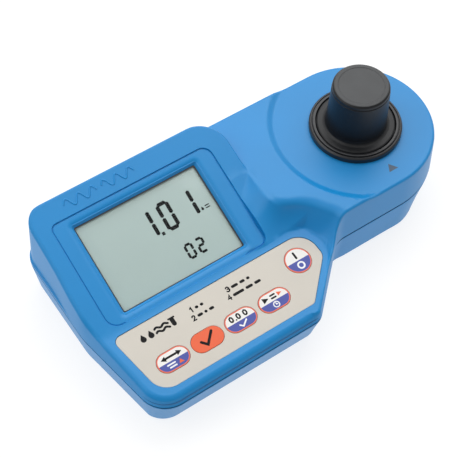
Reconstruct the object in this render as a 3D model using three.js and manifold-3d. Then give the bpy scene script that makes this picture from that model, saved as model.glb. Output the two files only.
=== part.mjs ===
// Hand-held digital water tester: a wedge-shaped case with a tilted display and keypad at one
// end, and a round measuring head with a capped glass cuvette at the other.
// Millimetres. +X runs from the display end to the measuring head, +Y from the user's edge to
// the far edge, +Z up. The origin is the centre of the bounding box's footprint, on the table.
import * as THREE from 'three';
import { mergeVertices } from 'three/addons/utils/BufferGeometryUtils.js';
import Module from 'manifold-3d';

const wasm = await Module();
wasm.setup();

// ---------------------------------------------------------------- driving dimensions
const LENGTH = 192;
const WIDTH = 102.5;
const HEIGHT = 67;
const LEFT = -LENGTH / 2;
const RIGHT = LENGTH / 2;
const NEAR = -WIDTH / 2;
const FAR = WIDTH / 2;

const FOOT_H = 1;
const SEAM_Z = 20;
const SEAM_GAP = 0.35;
const SHELL = 2.4;
const NECK_Z = 39.7;
const HEAD_Z = 38.4;
const HEAD_R = 37.1;
const HEAD = new THREE.Vector2(RIGHT - HEAD_R, FAR - HEAD_R);
const NECK_NEAR = FAR - 2 * HEAD_R;

// The two tilted top planes: height over the origin and slope towards +Y.
const PANEL = { z: 32.78, slope: 0.351 };
const KEYPAD = { z: 29.95, slope: 0.118 };
const CREASE_Y = (KEYPAD.z - PANEL.z) / (PANEL.slope - KEYPAD.slope);
const PANEL_TILT = Math.atan(PANEL.slope);
const KEYPAD_TILT = Math.atan(KEYPAD.slope);
// Raised display block: right edge, corner radius, and how far its corner stands in from the wall.
const BLOCK = { right: 3, cornerR: 14, inset: 3.2 };
const BLOCK_RAMP = { lean: 0.8, end: 20 };
// Scoop between the power key and the neck: plan radii at three heights.
const SCOOP = { x: 2, y: -24, rings: [[22, 10.5], [28.2, 13.1], [39.7, 21.4], [50, 28.5]] };

// Display opening, along X and along the panel's slope.
const WINDOW = { x0: -76.7, x1: -15.7, v0: -7.1, v1: 35.1, depth: 2.2, chamfer: 2.6 };
const BEZEL_LINE = { x0: -85.9, x1: -6.1, v0: -11.5, v1: 40.2, r: 4.5, width: 0.7, depth: 0.5 };

// Keypad film and its five keys.
const FILM = { top: -0.35, thick: 0.6, pocket: 1.25 };
const KEY = { r: 4.5, half: 3, top: -0.25, thick: 0.55, gap: 0.15, stemR: 2, stemEnd: -2.6, y: -34.4 };
const POWER_KEY = { x: -0.2, y: -24.35, r: 6 };

// Measuring head.
const HEAD_STEP = { x: 61.9, y: 14.2, r: 39.7, rimR: 43 };
const COLLAR = { r: 21.2, top: 41.8, seatR: 18.2, seatZ: 39.2, spigotR: 18.3, boreR: 13.6 };
const WELL = { boreR: 12.9, r: 15.5, bottom: 4, floor: 6, top: 35.5, portZ: 16, portR: 2.6 };
const VIAL = { r: 12.3, wall: 1.2, bottom: 6.3, shoulder: 36, neckZ: 39, neckR: 9.3, top: 55 };
const CAP = { flangeR: 17.9, bottom: 39.5, flangeTop: 41.9, baseR: 13.9, r: 12.9, boreR: 10, roof: 58 };

// Battery compartment in the underside.
const BATTERY = { x: -48.7, y: 8, length: 48.5, width: 26.5, height: 17.5, z: 3.3 };
const HATCH = { x: -46, y: 8, r: 33, ledgeR: 31, gap: 0.3, top: 2.4, core: 2.9, ledgeZ: 2.8 };

const SCREW_SPOTS = [[-76, -41.3], [-14, -41.3], [-83, 38.5], [-4, 43], [72, 38], [70, -12]];
const FOOT_SPOTS = [[-80, -30], [-84, 20], [46, -12], [46, 40]];
const BOARD = { x0: -80, x1: -2, y0: -9, y1: 44, z: 22, thick: 1.4 };
const BOARD_SCREW_SPOTS = [[-8, 38], [-8, -4]];

// ---------------------------------------------------------------- colours
const finish = (color, roughness, metalness = 0) =>
  new THREE.MeshStandardMaterial({ color, roughness, metalness });
const BLUE = finish(0x3f8fd6, 0.5);
const BLACK = finish(0x17191b, 0.45);
const RUBBER = finish(0x1d2226, 0.85);
const BEIGE = finish(0xd7d0c6, 0.6);
const WHITE = finish(0xf2f2f0, 0.5);
const ORANGE = finish(0xeb6937, 0.5);
const GLASS = finish(0xcfe3e6, 0.1);
const LCD = finish(0xacc0be, 0.3);
const BOARD_GREEN = finish(0x1f6b3a, 0.6);
const STEEL = finish(0xb9bcc0, 0.35, 0.9);
const RED = finish(0xb3261e, 0.5);
const FILTER = finish(0x3c7f59, 0.15);

// ---------------------------------------------------------------- geometry helpers
const vec = (x, y) => new THREE.Vector2(x, y);
const panelZ = (y) => PANEL.z + PANEL.slope * y;
const keypadZ = (y) => KEYPAD.z + KEYPAD.slope * y;
const smooth = (a, b, x) => THREE.MathUtils.smoothstep(x, a, b);

function manifold(geometry) {
  const bare = geometry.clone();
  bare.deleteAttribute('normal');
  bare.deleteAttribute('uv');
  const merged = mergeVertices(bare, 1e-4);
  return new wasm.Manifold(new wasm.Mesh({
    numProp: 3,
    vertProperties: new Float32Array(merged.attributes.position.array),
    triVerts: new Uint32Array(merged.index.array),
  }));
}

function geometryOf(solid) {
  const mesh = solid.getMesh();
  const geometry = new THREE.BufferGeometry();
  geometry.setAttribute('position', new THREE.BufferAttribute(mesh.vertProperties, 3));
  geometry.setIndex(new THREE.BufferAttribute(mesh.triVerts, 1));
  geometry.computeVertexNormals();
  return geometry;
}

// Closed outline through corners [x, y, radius, arc steps], walked counter-clockwise.
function roundedOutline(corners) {
  const points = [];
  corners.forEach(([x, y, radius = 0, steps = 4], i) => {
    const here = vec(x, y);
    const before = vec(...corners.at(i - 1).slice(0, 2)).sub(here).normalize();
    const after = vec(...corners[(i + 1) % corners.length].slice(0, 2)).sub(here).normalize();
    if (radius === 0) {
      points.push(here);
      return;
    }
    const half = Math.acos(THREE.MathUtils.clamp(before.dot(after), -1, 1)) / 2;
    const middle = before.clone().add(after).normalize();
    const centre = here.clone().addScaledVector(middle, radius / Math.sin(half));
    const start = here.clone().addScaledVector(before, radius / Math.tan(half)).sub(centre);
    const turn = Math.PI - 2 * half;
    const sign = Math.sign(after.cross(before));
    for (let k = 0; k <= steps; k += 1) {
      points.push(start.clone().rotateAround(vec(0, 0), sign * turn * k / steps).add(centre));
    }
  });
  return points.filter((point, i) => point.distanceTo(points.at(i - 1)) > 0.001);
}

// Moves each outline point inwards by amount(point, outward normal).
function inset(points, amount) {
  return points.map((point, i) => {
    const a = point.clone().sub(points.at(i - 1)).normalize();
    const b = points[(i + 1) % points.length].clone().sub(point).normalize();
    const normal = vec(a.y + b.y, -a.x - b.x).normalize();
    const miter = 1 / Math.max(0.6, normal.dot(vec(a.y, -a.x)));
    return point.clone().addScaledVector(normal, -amount(point, normal) * miter);
  });
}

const atHeight = (points, z) => points.map((p) => new THREE.Vector3(p.x, p.y, z));

// Solid through rings of matching points, capped at both ends.
function loft(rings) {
  const steps = rings.length - 1;
  const base = new THREE.Shape(rings[0].map((p) => vec(p.x, p.y)));
  const geometry = new THREE.ExtrudeGeometry(base, { depth: steps, steps, bevelEnabled: false });
  const position = geometry.attributes.position;
  const key = (x, y) => `${Math.fround(x).toFixed(4)},${Math.fround(y).toFixed(4)}`;
  const index = new Map(rings[0].map((p, i) => [key(p.x, p.y), i]));
  for (let i = 0; i < position.count; i += 1) {
    const ring = rings[Math.round(position.getZ(i))];
    const point = ring[index.get(key(position.getX(i), position.getY(i)))];
    position.setXYZ(i, point.x, point.y, point.z);
  }
  return manifold(geometry);
}

const slab = (points, z0, z1) => loft([atHeight(points, z0), atHeight(points, z1)]);

const rectangle = (x0, x1, y0, y1, r = 0, steps = 3) =>
  roundedOutline([[x0, y0, r, steps], [x1, y0, r, steps], [x1, y1, r, steps], [x0, y1, r, steps]]);

const circle = (x, y, r, steps = 28) =>
  Array.from({ length: steps }, (_, i) => vec(r, 0).rotateAround(vec(0, 0), i * 2 * Math.PI / steps)
    .add(vec(x, y)));

// Solid of revolution about a vertical axis through (x, y); profile of [radius, z].
function turned(profile, x = 0, y = 0, segments = 24) {
  const geometry = new THREE.LatheGeometry(profile.map(([r, z]) => vec(r, z)), segments);
  geometry.rotateX(Math.PI / 2);
  geometry.translate(x, y, 0);
  return manifold(geometry);
}

const rod = (x, y, r, z0, z1, segments = 12) =>
  turned([[0, z0], [r, z0], [r, z1], [0, z1]], x, y, segments);

const tube = (x, y, inner, outer, z0, z1, segments = 36) =>
  turned([[inner, z0], [outer, z0], [outer, z1], [inner, z1], [inner, z0]], x, y, segments);

function block(x0, x1, y0, y1, z0, z1) {
  const geometry = new THREE.BoxGeometry(x1 - x0, y1 - y0, z1 - z0);
  geometry.translate((x0 + x1) / 2, (y0 + y1) / 2, (z0 + z1) / 2);
  return manifold(geometry);
}

// Rod along X.
function axle(x0, x1, y, z, r, segments = 14) {
  const geometry = new THREE.CylinderGeometry(r, r, x1 - x0, segments);
  geometry.rotateZ(Math.PI / 2);
  geometry.translate((x0 + x1) / 2, y, z);
  return manifold(geometry);
}

const union = (solids) => solids.reduce((a, b) => a.add(b));
const cut = (solid, tools) => tools.reduce((a, b) => a.subtract(b), solid);

// ---------------------------------------------------------------- scene graph
const tester = new THREE.Group();
const panelFrame = new THREE.Group();
panelFrame.position.z = PANEL.z;
panelFrame.rotation.x = PANEL_TILT;
const keypadFrame = new THREE.Group();
keypadFrame.position.z = KEYPAD.z;
keypadFrame.rotation.x = KEYPAD_TILT;
tester.add(panelFrame, keypadFrame);

function add(parent, name, solid, material) {
  const mesh = new THREE.Mesh(geometryOf(solid), material);
  mesh.name = name;
  parent.add(mesh);
}

// A solid drawn in a tilted frame, moved to the object's frame so that it can cut the case.
function placed(frame, solid) {
  frame.updateMatrix();
  const geometry = geometryOf(solid);
  geometry.applyMatrix4(frame.matrix);
  return manifold(geometry);
}

// ---------------------------------------------------------------- case outline and walls
const SEAM_OUTLINE = roundedOutline([
  [-88, NEAR, 13, 6],
  [-6.8, NEAR, 8, 5],
  [22.7, NECK_NEAR, 10, 5],
  [RIGHT, NECK_NEAR, HEAD_R, 14],
  [RIGHT, FAR, HEAD_R, 14],
  [6, FAR],
  [2, FAR],
  [-4, FAR],
  [-8, FAR],
  [LEFT, FAR, 12, 6],
  [LEFT, -3, 40, 2],
]);

// 0 on the display end and 1 on the neck and head.
const neckShare = (p) => (p.y < 0 ? smooth(12, 20, p.x) : smooth(-8, 6, p.x));

const topInset = (p, normal) => {
  const side = normal.y < 0 ? 3.8 : 3.2;
  const end = 3.4 + (side - 3.4) * normal.y * normal.y;
  return THREE.MathUtils.lerp(end, 1.5, neckShare(p));
};

const topHeight = (p) => {
  const end = Math.max(panelZ(p.y), keypadZ(p.y));
  return THREE.MathUtils.lerp(end, NECK_Z, neckShare(p)) + 1;
};

// Leaning outer walls, or their inner faces when shrunk by the shell thickness.
function upperWalls(thickness, floorZ) {
  const lip = inset(SEAM_OUTLINE, () => thickness);
  const edge = inset(SEAM_OUTLINE, (p, normal) => topInset(p, normal) + thickness);
  return loft([
    atHeight(lip, floorZ),
    atHeight(inset(SEAM_OUTLINE, () => thickness + 0.15), SEAM_Z + 1.6),
    atHeight(inset(SEAM_OUTLINE, () => thickness + 0.8), SEAM_Z + 2.1),
    edge.map((p, i) => new THREE.Vector3(p.x, p.y, topHeight(SEAM_OUTLINE[i]))),
    atHeight(edge, HEIGHT),
  ]);
}

// Everything under the display and keypad planes, left of the neck.
function displayBlock(thickness) {
  const drop = thickness * 1.03;
  const profile = [
    vec(-70, 5),
    vec(70, 5),
    vec(70, panelZ(70) - drop),
    vec(CREASE_Y, panelZ(CREASE_Y) - drop),
    vec(-70, keypadZ(-70) - drop),
  ];
  const shape = new THREE.Shape(profile);
  const geometry = new THREE.ExtrudeGeometry(shape, { depth: 140, bevelEnabled: false });
  const toX = new THREE.Matrix4().makeBasis(
    new THREE.Vector3(0, 1, 0), new THREE.Vector3(0, 0, 1), new THREE.Vector3(1, 0, 0));
  geometry.applyMatrix4(toX);
  geometry.translate(-110, 0, 0);
  const plan = (z) => {
    const right = BLOCK.right + (50 - z) * 0.04 - thickness;
    const far = FAR - BLOCK.inset - (50 - z) * 0.068 - thickness;
    return atHeight(roundedOutline([
      [-110, -60], [24, -60], [24, CREASE_Y], [right, CREASE_Y],
      [right, far, BLOCK.cornerR, 8], [right - BLOCK.cornerR - 2, FAR + 2], [-110, FAR + 2],
    ]), z);
  };
  return manifold(geometry).intersect(loft([plan(5), plan(HEIGHT)]));
}

// Neck and head block, with the scoop beside the power key and the step down to the head.
function neckBlock(thickness) {
  const top = NECK_Z - thickness;
  const end = BLOCK_RAMP.end + 2.8 * thickness;
  const plan = (z) => {
    const left = BLOCK.right + thickness - (top - z) * BLOCK_RAMP.lean;
    return atHeight([
      vec(left, 60), vec(-110, 60), vec(-110, end), vec(left, end), vec(left, -10),
      vec(2, -23), vec(13.5, -30.5), vec(55, -60), vec(110, -60), vec(110, 60),
    ], z);
  };
  const scoop = loft(SCOOP.rings.map(([z, r]) => atHeight(circle(SCOOP.x, SCOOP.y, r + thickness), z)));
  const { x, y, r, rimR } = HEAD_STEP;
  const step = turned([
    [0, HEAD_Z - thickness], [r + thickness, HEAD_Z - thickness], [rimR + thickness, top],
    [52, NECK_Z + 4], [0, NECK_Z + 4],
  ], x, y, 60);
  return loft([plan(24), plan(top)]).add(slab(plan(24), 5, 24)).subtract(scoop).subtract(step);
}

const upperBody = (thickness, floorZ) =>
  upperWalls(thickness, floorZ).intersect(displayBlock(thickness).add(neckBlock(thickness)));

// ---------------------------------------------------------------- upper case
const local = (y, tilt) => y / Math.cos(tilt);

const FILM_OUTLINE = roundedOutline([
  [-82.3, local(-44.65, KEYPAD_TILT), 9, 5],
  [-5.85, local(-44.65, KEYPAD_TILT), 3, 3],
  [10.9, local(-27.8, KEYPAD_TILT), 5, 3],
  [10.4, local(-14.15, KEYPAD_TILT), 9, 5],
  [-87.7, local(-14.15, KEYPAD_TILT), 3, 3],
]);

const KEY_Y = local(KEY.y, KEYPAD_TILT);
const stadium = (x, grow) =>
  rectangle(x - KEY.half - KEY.r - grow, x + KEY.half + KEY.r + grow,
    KEY_Y - KEY.r - grow, KEY_Y + KEY.r + grow, KEY.r + grow - 0.01, 5);
const powerDisc = (grow) =>
  circle(POWER_KEY.x, local(POWER_KEY.y, KEYPAD_TILT), POWER_KEY.r + grow, 24);

const KEYS = [
  { name: 'key_range', x: -70.7, outline: (grow) => stadium(-70.7, grow), material: WHITE },
  { name: 'key_check', x: -53.8, outline: (grow) => stadium(-53.8, grow), material: ORANGE },
  { name: 'key_zero', x: -37, outline: (grow) => stadium(-37, grow), material: WHITE },
  { name: 'key_read', x: -19.8, outline: (grow) => stadium(-19.8, grow), material: WHITE },
  { name: 'key_power', x: POWER_KEY.x, outline: powerDisc, material: WHITE },
];
const stemY = (key) => (key.name === 'key_power' ? local(POWER_KEY.y, KEYPAD_TILT) : KEY_Y);

function windowCut() {
  const { x0, x1, v0, v1, depth, chamfer } = WINDOW;
  const rim = (grow, r) => rectangle(x0 - grow, x1 + grow, v0 - grow, v1 + grow, r);
  return placed(panelFrame, loft([
    atHeight(rim(0, 0.8), -6),
    atHeight(rim(0.01, 0.8), -depth),
    atHeight(rim(chamfer, 2.4), 0),
    atHeight(rim(chamfer, 2.4), 3),
  ]));
}

function bezelLineCut() {
  const { x0, x1, v0, v1, r, width, depth } = BEZEL_LINE;
  const outer = slab(rectangle(x0, x1, v0, v1, r, 4), -depth, 3);
  const inner = slab(
    rectangle(x0 + width, x1 - width, v0 + width, v1 - width, r - width, 4), -depth - 1, 4);
  return placed(panelFrame, outer.subtract(inner));
}

function upperCase() {
  const outside = upperBody(0, SEAM_Z + SEAM_GAP);
  const bosses = SCREW_SPOTS.map(([x, y]) => rod(x, y, 3.6, SEAM_Z + SEAM_GAP, 60));
  const shell = outside.subtract(upperBody(SHELL, SEAM_Z - 4)).add(union(bosses).intersect(outside));
  const pilots = SCREW_SPOTS.map(([x, y]) => rod(x, y, 1.45, 15, 23.6, 8));
  const pocket = placed(keypadFrame, slab(inset(FILM_OUTLINE, () => -0.2), -FILM.pocket, 8));
  const stems = KEYS.map((key) => placed(keypadFrame, rod(key.x, stemY(key), KEY.stemR + 0.4, -9, 5)));
  const filmTail = placed(keypadFrame, block(-60, -44, -18.4, -17.4, -9, 5));
  const socket = rod(HEAD.x, HEAD.y, COLLAR.spigotR + 0.3, 20, 50, 40);
  return cut(shell, [...pilots, pocket, ...stems, filmTail, socket, windowCut(), bezelLineCut()]);
}

// ---------------------------------------------------------------- lower case
// How far the wall leans in from the seam to the underside.
const bottomInset = (p, normal) => {
  if (p.x > HEAD.x) {
    return 0.6 + 13.4 * Math.max(0, normal.x) ** 2;
  }
  const end = 2 + 2.4 * Math.max(0, -normal.y);
  return THREE.MathUtils.lerp(end, 0.8, p.y < 0 ? smooth(8, 30, p.x) : smooth(0, 30, p.x));
};

function lowerBody(thickness, floorZ, topZ) {
  const ring = (share, extra) =>
    inset(SEAM_OUTLINE, (p, normal) => 0.2 + bottomInset(p, normal) * share + extra + thickness);
  return loft([
    atHeight(ring(1, thickness > 0 ? 0 : 1.4), floorZ),
    atHeight(ring(0.95, 0), floorZ + 1.4),
    atHeight(ring(0.08, 0), SEAM_Z - 2),
    atHeight(ring(0, 0), topZ),
  ]);
}

function lowerCase() {
  const topZ = SEAM_Z - SEAM_GAP;
  const outside = lowerBody(0, FOOT_H, topZ);
  const floorTop = FOOT_H + SHELL;
  const posts = [
    ...SCREW_SPOTS.map(([x, y]) => rod(x, y, 4.2, FOOT_H + 1, topZ)),
    ...BOARD_SCREW_SPOTS.map(([x, y]) => rod(x, y, 2.6, FOOT_H + 1, BOARD.z, 10)),
  ];
  const shell = outside.subtract(lowerBody(SHELL, floorTop, SEAM_Z + 5));
  const caseHoles = SCREW_SPOTS.flatMap(([x, y]) => [
    rod(x, y, 1.7, -1, SEAM_Z + 5, 8),
    rod(x, y, 3.2, -1, FOOT_H + 3.5),
  ]);
  const boardHoles = BOARD_SCREW_SPOTS.map(([x, y]) => rod(x, y, 1.15, BOARD.z - 7, BOARD.z + 5, 8));
  const opening = [
    rod(HATCH.x, HATCH.y, HATCH.r + HATCH.gap, -1, HATCH.ledgeZ, 36),
    rod(HATCH.x, HATCH.y, HATCH.ledgeR, -1, floorTop + 1, 36),
  ];
  const inside = union(posts).intersect(lowerBody(0, FOOT_H, BOARD.z));
  return cut(shell.add(inside), [...caseHoles, ...boardHoles, ...opening]);
}

function caseSeal() {
  const outer = inset(SEAM_OUTLINE, () => 0.7);
  const inner = inset(SEAM_OUTLINE, () => 2.1);
  return slab(outer, SEAM_Z - SEAM_GAP, SEAM_Z + SEAM_GAP).subtract(slab(inner, SEAM_Z - 2, SEAM_Z + 2));
}

function caseScrew([x, y]) {
  const head = FOOT_H + 3.5;
  const body = turned([
    [0, head - 1.9], [2.9, head - 1.9], [2.9, head], [1.3, head], [1.3, 23], [0, 23.4],
  ], x, y, 12);
  const slot = block(x - 1.8, x + 1.8, y - 0.35, y + 0.35, head - 3, head - 1.1);
  return body.subtract(slot);
}

const foot = ([x, y]) => turned([[0, 0], [4.6, 0], [5, 0.4], [5, FOOT_H], [0, FOOT_H]], x, y, 18);

add(tester, 'upper_case', upperCase(), BLUE);
add(tester, 'lower_case', lowerCase(), BLUE);
add(tester, 'case_seal', caseSeal(), RUBBER);
SCREW_SPOTS.forEach((spot, i) => add(tester, `case_screw_${i + 1}`, caseScrew(spot), STEEL));
FOOT_SPOTS.forEach((spot, i) => add(tester, `foot_${i + 1}`, foot(spot), RUBBER));

// ---------------------------------------------------------------- display stack
function displayStack() {
  const { x0, x1, v0, v1 } = WINDOW;
  const rim = (grow) => rectangle(x0 - grow, x1 + grow, v0 - grow, v1 + grow, 0.8);
  const top = -WINDOW.depth - 0.3;
  const bezel = slab(rim(2.6), top - 0.8, top).subtract(slab(rim(-0.4), top - 2, top + 1));
  add(panelFrame, 'display_bezel', bezel, BLACK);
  add(panelFrame, 'display_window', slab(rim(-0.7), top - 0.8, top), GLASS);
  add(panelFrame, 'lcd_glass', slab(rim(1.4), top - 2.9, top - 1.1), LCD);
  add(tester, 'lcd_contact_strip', block(-72, -20, -5.8, -3.8, BOARD.z + BOARD.thick, 24.8), RUBBER);
}

function mainBoard() {
  const { x0, x1, y0, y1, z, thick } = BOARD;
  const board = slab(rectangle(x0, x1, y0, y1, 2), z, z + thick);
  const bossRelief = SCREW_SPOTS.slice(2, 4).map(([x, y]) => rod(x, y, 4.6, z - 1, z + 5));
  const holes = BOARD_SCREW_SPOTS.map(([x, y]) => rod(x, y, 1.15, z - 1, z + 5, 8));
  return cut(board, [...bossRelief, ...holes]);
}

function boardScrew([x, y]) {
  const seat = BOARD.z + BOARD.thick;
  return turned([
    [0, seat - 6], [1, seat - 5.6], [1, seat], [2.1, seat], [1.7, seat + 1.1], [0, seat + 1.3],
  ], x, y, 10);
}

displayStack();
add(tester, 'main_board', mainBoard(), BOARD_GREEN);
BOARD_SCREW_SPOTS.forEach((spot, i) => add(tester, `board_screw_${i + 1}`, boardScrew(spot), STEEL));

// ---------------------------------------------------------------- keypad
function keypad() {
  const film = slab(FILM_OUTLINE, FILM.top - FILM.thick, FILM.top);
  const holes = KEYS.map((key) => slab(key.outline(KEY.gap), -4, 2));
  add(keypadFrame, 'keypad_film', cut(film, holes), BEIGE);
  for (const key of KEYS) {
    const pad = slab(key.outline(0), KEY.top - KEY.thick, KEY.top);
    const stem = rod(key.x, stemY(key), KEY.stemR, KEY.stemEnd, KEY.top - KEY.thick / 2);
    add(keypadFrame, key.name, pad.add(stem), key.material);
    const bulge = [[0, -3.5], [3.5, -3.5], [2.6, -3.25], [1.2, -3.12], [0, -3.1]];
    const dome = turned(bulge, key.x, stemY(key), 12);
    add(keypadFrame, key.name.replace('key', 'dome'), dome, STEEL);
  }
  const outline = roundedOutline([
    [-76, -37.8, 2, 3], [-5, -37.8, 2, 3], [4.5, -29, 2, 3], [4.5, -17.6, 2, 3], [-76, -17.6, 2, 3],
  ]);
  const board = slab(outline, -5.1, -3.7);
  add(keypadFrame, 'keypad_board', board, BOARD_GREEN);
}

// Flat flexible cable from the keypad board up to the main board.
function ribbonCable() {
  const path = [vec(-16.5, 23.3), vec(-15.2, 22.8), vec(-13.2, 22.5), vec(-11.2, 22.4), vec(-9.3, 22.5)];
  const upper = path.map((p) => vec(p.x, p.y + 0.35)).reverse();
  const strip = new THREE.Shape([...path, ...upper]);
  const geometry = new THREE.ExtrudeGeometry(strip, { depth: 16, bevelEnabled: false });
  geometry.applyMatrix4(new THREE.Matrix4().makeBasis(
    new THREE.Vector3(0, 1, 0), new THREE.Vector3(0, 0, 1), new THREE.Vector3(1, 0, 0)));
  geometry.translate(-50, 0, 0);
  return manifold(geometry);
}

keypad();
add(tester, 'keypad_ribbon', ribbonCable(), BLACK);

// ---------------------------------------------------------------- measuring head
function collar() {
  const { r, top, seatR, seatZ, spigotR, boreR } = COLLAR;
  return turned([
    [boreR, WELL.top + 0.3], [spigotR, WELL.top + 0.3], [spigotR, HEAD_Z], [r, HEAD_Z],
    [r, top - 0.9], [r - 0.5, top - 0.4], [r - 0.9, top - 0.4], [r - 1.1, top - 0.8],
    [r - 1.3, top - 0.4], [r - 1.6, top], [seatR, top], [seatR, seatZ], [boreR, seatZ],
    [boreR, WELL.top + 0.3],
  ], HEAD.x, HEAD.y, 40);
}

function well() {
  const { boreR, r, bottom, floor, top, portZ, portR } = WELL;
  const body = turned([[0, bottom], [r, bottom], [r, top], [boreR, top], [boreR, floor], [0, floor]],
    HEAD.x, HEAD.y, 28);
  return body.subtract(axle(HEAD.x - 20, HEAD.x + 20, HEAD.y, portZ, portR));
}

function vial() {
  const { r, wall, bottom, shoulder, neckZ, neckR, top } = VIAL;
  return turned([
    [0, bottom], [r - 0.6, bottom], [r, bottom + 0.6], [r, shoulder], [neckR, neckZ], [neckR, top],
    [neckR - wall, top], [neckR - wall, neckZ], [r - wall, shoulder - 0.6], [r - wall, bottom + 2],
    [0, bottom + 2],
  ], HEAD.x, HEAD.y, 28);
}

function cap() {
  const { flangeR, bottom, flangeTop, baseR, r, boreR, roof } = CAP;
  const body = turned([
    [boreR, bottom], [flangeR, bottom], [flangeR, flangeTop - 0.3], [flangeR - 0.3, flangeTop],
    [baseR + 0.5, flangeTop + 0.9], [baseR, flangeTop + 1.5], [r + 0.1, HEIGHT - 4.2],
    [r - 0.25, HEIGHT - 3.2], [r - 0.25, HEIGHT - 1.2], [r - 0.7, HEIGHT - 0.3],
    [r - 1.4, HEIGHT], [0, HEIGHT], [0, roof], [boreR, roof], [boreR, bottom],
  ], HEAD.x, HEAD.y, 36);
  return body.subtract(block(HEAD.x + 0.8, HEAD.x + 1.3, HEAD.y - 18, HEAD.y - 14.6, 41.6, 45));
}

const stopper = () => turned([
  [0, VIAL.top - 4.5], [7.3, VIAL.top - 4.5], [7.7, VIAL.top - 3.5], [7.7, VIAL.top + 0.3],
  [9.2, VIAL.top + 0.3], [9.2, VIAL.top + 1.6], [0, VIAL.top + 1.6],
], HEAD.x, HEAD.y, 20);

add(tester, 'cuvette_collar', collar(), BLACK);
add(tester, 'cuvette_well', well(), BLACK);
add(tester, 'cuvette_vial', vial(), GLASS);
add(tester, 'cuvette_stopper', stopper(), WHITE);
add(tester, 'cuvette_cap', cap(), BLACK);

function optics() {
  const { portZ, portR, r, boreR } = WELL;
  const out = HEAD.x + r;
  const bulb = axle(HEAD.x - r - 5.5, HEAD.x - r - 0.4, HEAD.y, portZ, 2.5);
  const rim = axle(HEAD.x - r - 6.5, HEAD.x - r - 5.5, HEAD.y, portZ, 2.9);
  add(tester, 'lamp', bulb.add(rim), GLASS);
  const lampBoard = block(HEAD.x - r - 8.4, HEAD.x - r - 6.8, HEAD.y - 8, HEAD.y + 8, 8, 26);
  add(tester, 'lamp_board', lampBoard, BOARD_GREEN);
  add(tester, 'lamp_lens', axle(HEAD.x - r + 0.3, HEAD.x - boreR - 0.5, HEAD.y, portZ, portR - 0.1), GLASS);
  add(tester, 'light_filter', axle(HEAD.x + boreR + 0.5, out - 0.6, HEAD.y, portZ, portR - 0.1), FILTER);
  const detector = block(out + 0.4, out + 3.2, HEAD.y - 3, HEAD.y + 3, portZ - 3, portZ + 3);
  add(tester, 'photodetector', detector, BLACK);
  add(tester, 'detector_board', block(out + 3.4, out + 5, HEAD.y - 8, HEAD.y + 8, 10, 26), BOARD_GREEN);
}

optics();

// ---------------------------------------------------------------- battery compartment
function batteryBox() {
  const { x, y, ledgeR } = HATCH;
  const floorTop = FOOT_H + SHELL;
  const roof = BOARD.z - 1;
  const cup = turned([
    [ledgeR, floorTop], [ledgeR + 1.5, floorTop], [ledgeR + 1.5, roof + 0.8], [0, roof + 0.8],
    [0, roof], [ledgeR, roof], [ledgeR, floorTop],
  ], x, y, 36);
  return cup.subtract(rod(-20.5, y, 2.4, roof - 2, roof + 3));
}

function battery() {
  const { x, y, length, width, height, z } = BATTERY;
  const outline = rectangle(x - length / 2, x + length / 2, y - width / 2, y + width / 2, 0);
  const body = slab(outline, z, z + height);
  const end = x + length / 2;
  const posts = [-6.35, 6.35].map((dy) => axle(end - 0.5, end + 2, y + dy, z + height / 2, 2.9));
  return body.add(union(posts));
}

function batterySnap() {
  const { x, y, length, height, z } = BATTERY;
  const face = x + length / 2 + 0.2;
  const middle = z + height / 2;
  const body = block(face, face + 3.4, y - 12, y + 12, middle - 5.5, middle + 5.5);
  const sockets = [-6.35, 6.35].map((dy) => axle(face - 1, face + 2.1, y + dy, middle, 3.1));
  return cut(body, sockets);
}

function lead(side) {
  const { x, y, length, height, z } = BATTERY;
  const start = x + length / 2 + 2;
  const path = new THREE.CatmullRomCurve3([
    new THREE.Vector3(start, y + side * 4, z + height / 2 + 5.7),
    new THREE.Vector3(start + 0.8, y + side * 2.6, z + height / 2 + 8.2),
    new THREE.Vector3(-20.6, y + side * 0.9, BOARD.z - 1.2),
    new THREE.Vector3(-20.5, y + side * 0.9, BOARD.z - 0.1),
  ]);
  const section = new THREE.Shape(circle(0, 0, 0.6, 6));
  const options = { steps: 8, extrudePath: path, bevelEnabled: false };
  const geometry = new THREE.ExtrudeGeometry(section, options);
  return manifold(geometry);
}

function batteryCover() {
  const { x, y, r, ledgeR, top, core } = HATCH;
  const disc = turned([
    [0, FOOT_H], [r - 0.4, FOOT_H], [r, FOOT_H + 0.4], [r, top], [ledgeR - 0.4, top], [ledgeR - 0.4, core],
    [0, core],
  ], x, y, 36);
  const slot = slab(rectangle(x - 11, x + 11, y - 1.3, y + 1.3, 1.2), -1, FOOT_H + 1.1);
  return disc.subtract(slot);
}

const coverSeal = () => tube(HATCH.x, HATCH.y, HATCH.ledgeR + 0.1, HATCH.r - 0.3, HATCH.top + 0.03,
  HATCH.ledgeZ - 0.03, 36);

add(tester, 'battery_box', batteryBox(), BLUE);
add(tester, 'battery_9v', battery(), STEEL);
add(tester, 'battery_snap', batterySnap(), BLACK);
add(tester, 'battery_lead_red', lead(1), RED);
add(tester, 'battery_lead_black', lead(-1), BLACK);
add(tester, 'battery_cover', batteryCover(), BLUE);
add(tester, 'cover_seal_ring', coverSeal(), RUBBER);

export default tester;
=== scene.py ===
"""Looks of a hand-held digital water tester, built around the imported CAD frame.

All drawing is done in millimetres in the frame's axes (+X towards the measuring head,
+Y to the far edge, +Z up, resting on z = 0) and turned into metres when a mesh is made.
"""

import math

import bpy
import numpy as np
from mathutils import Matrix, Vector
from mathutils.geometry import delaunay_2d_cdt


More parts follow.
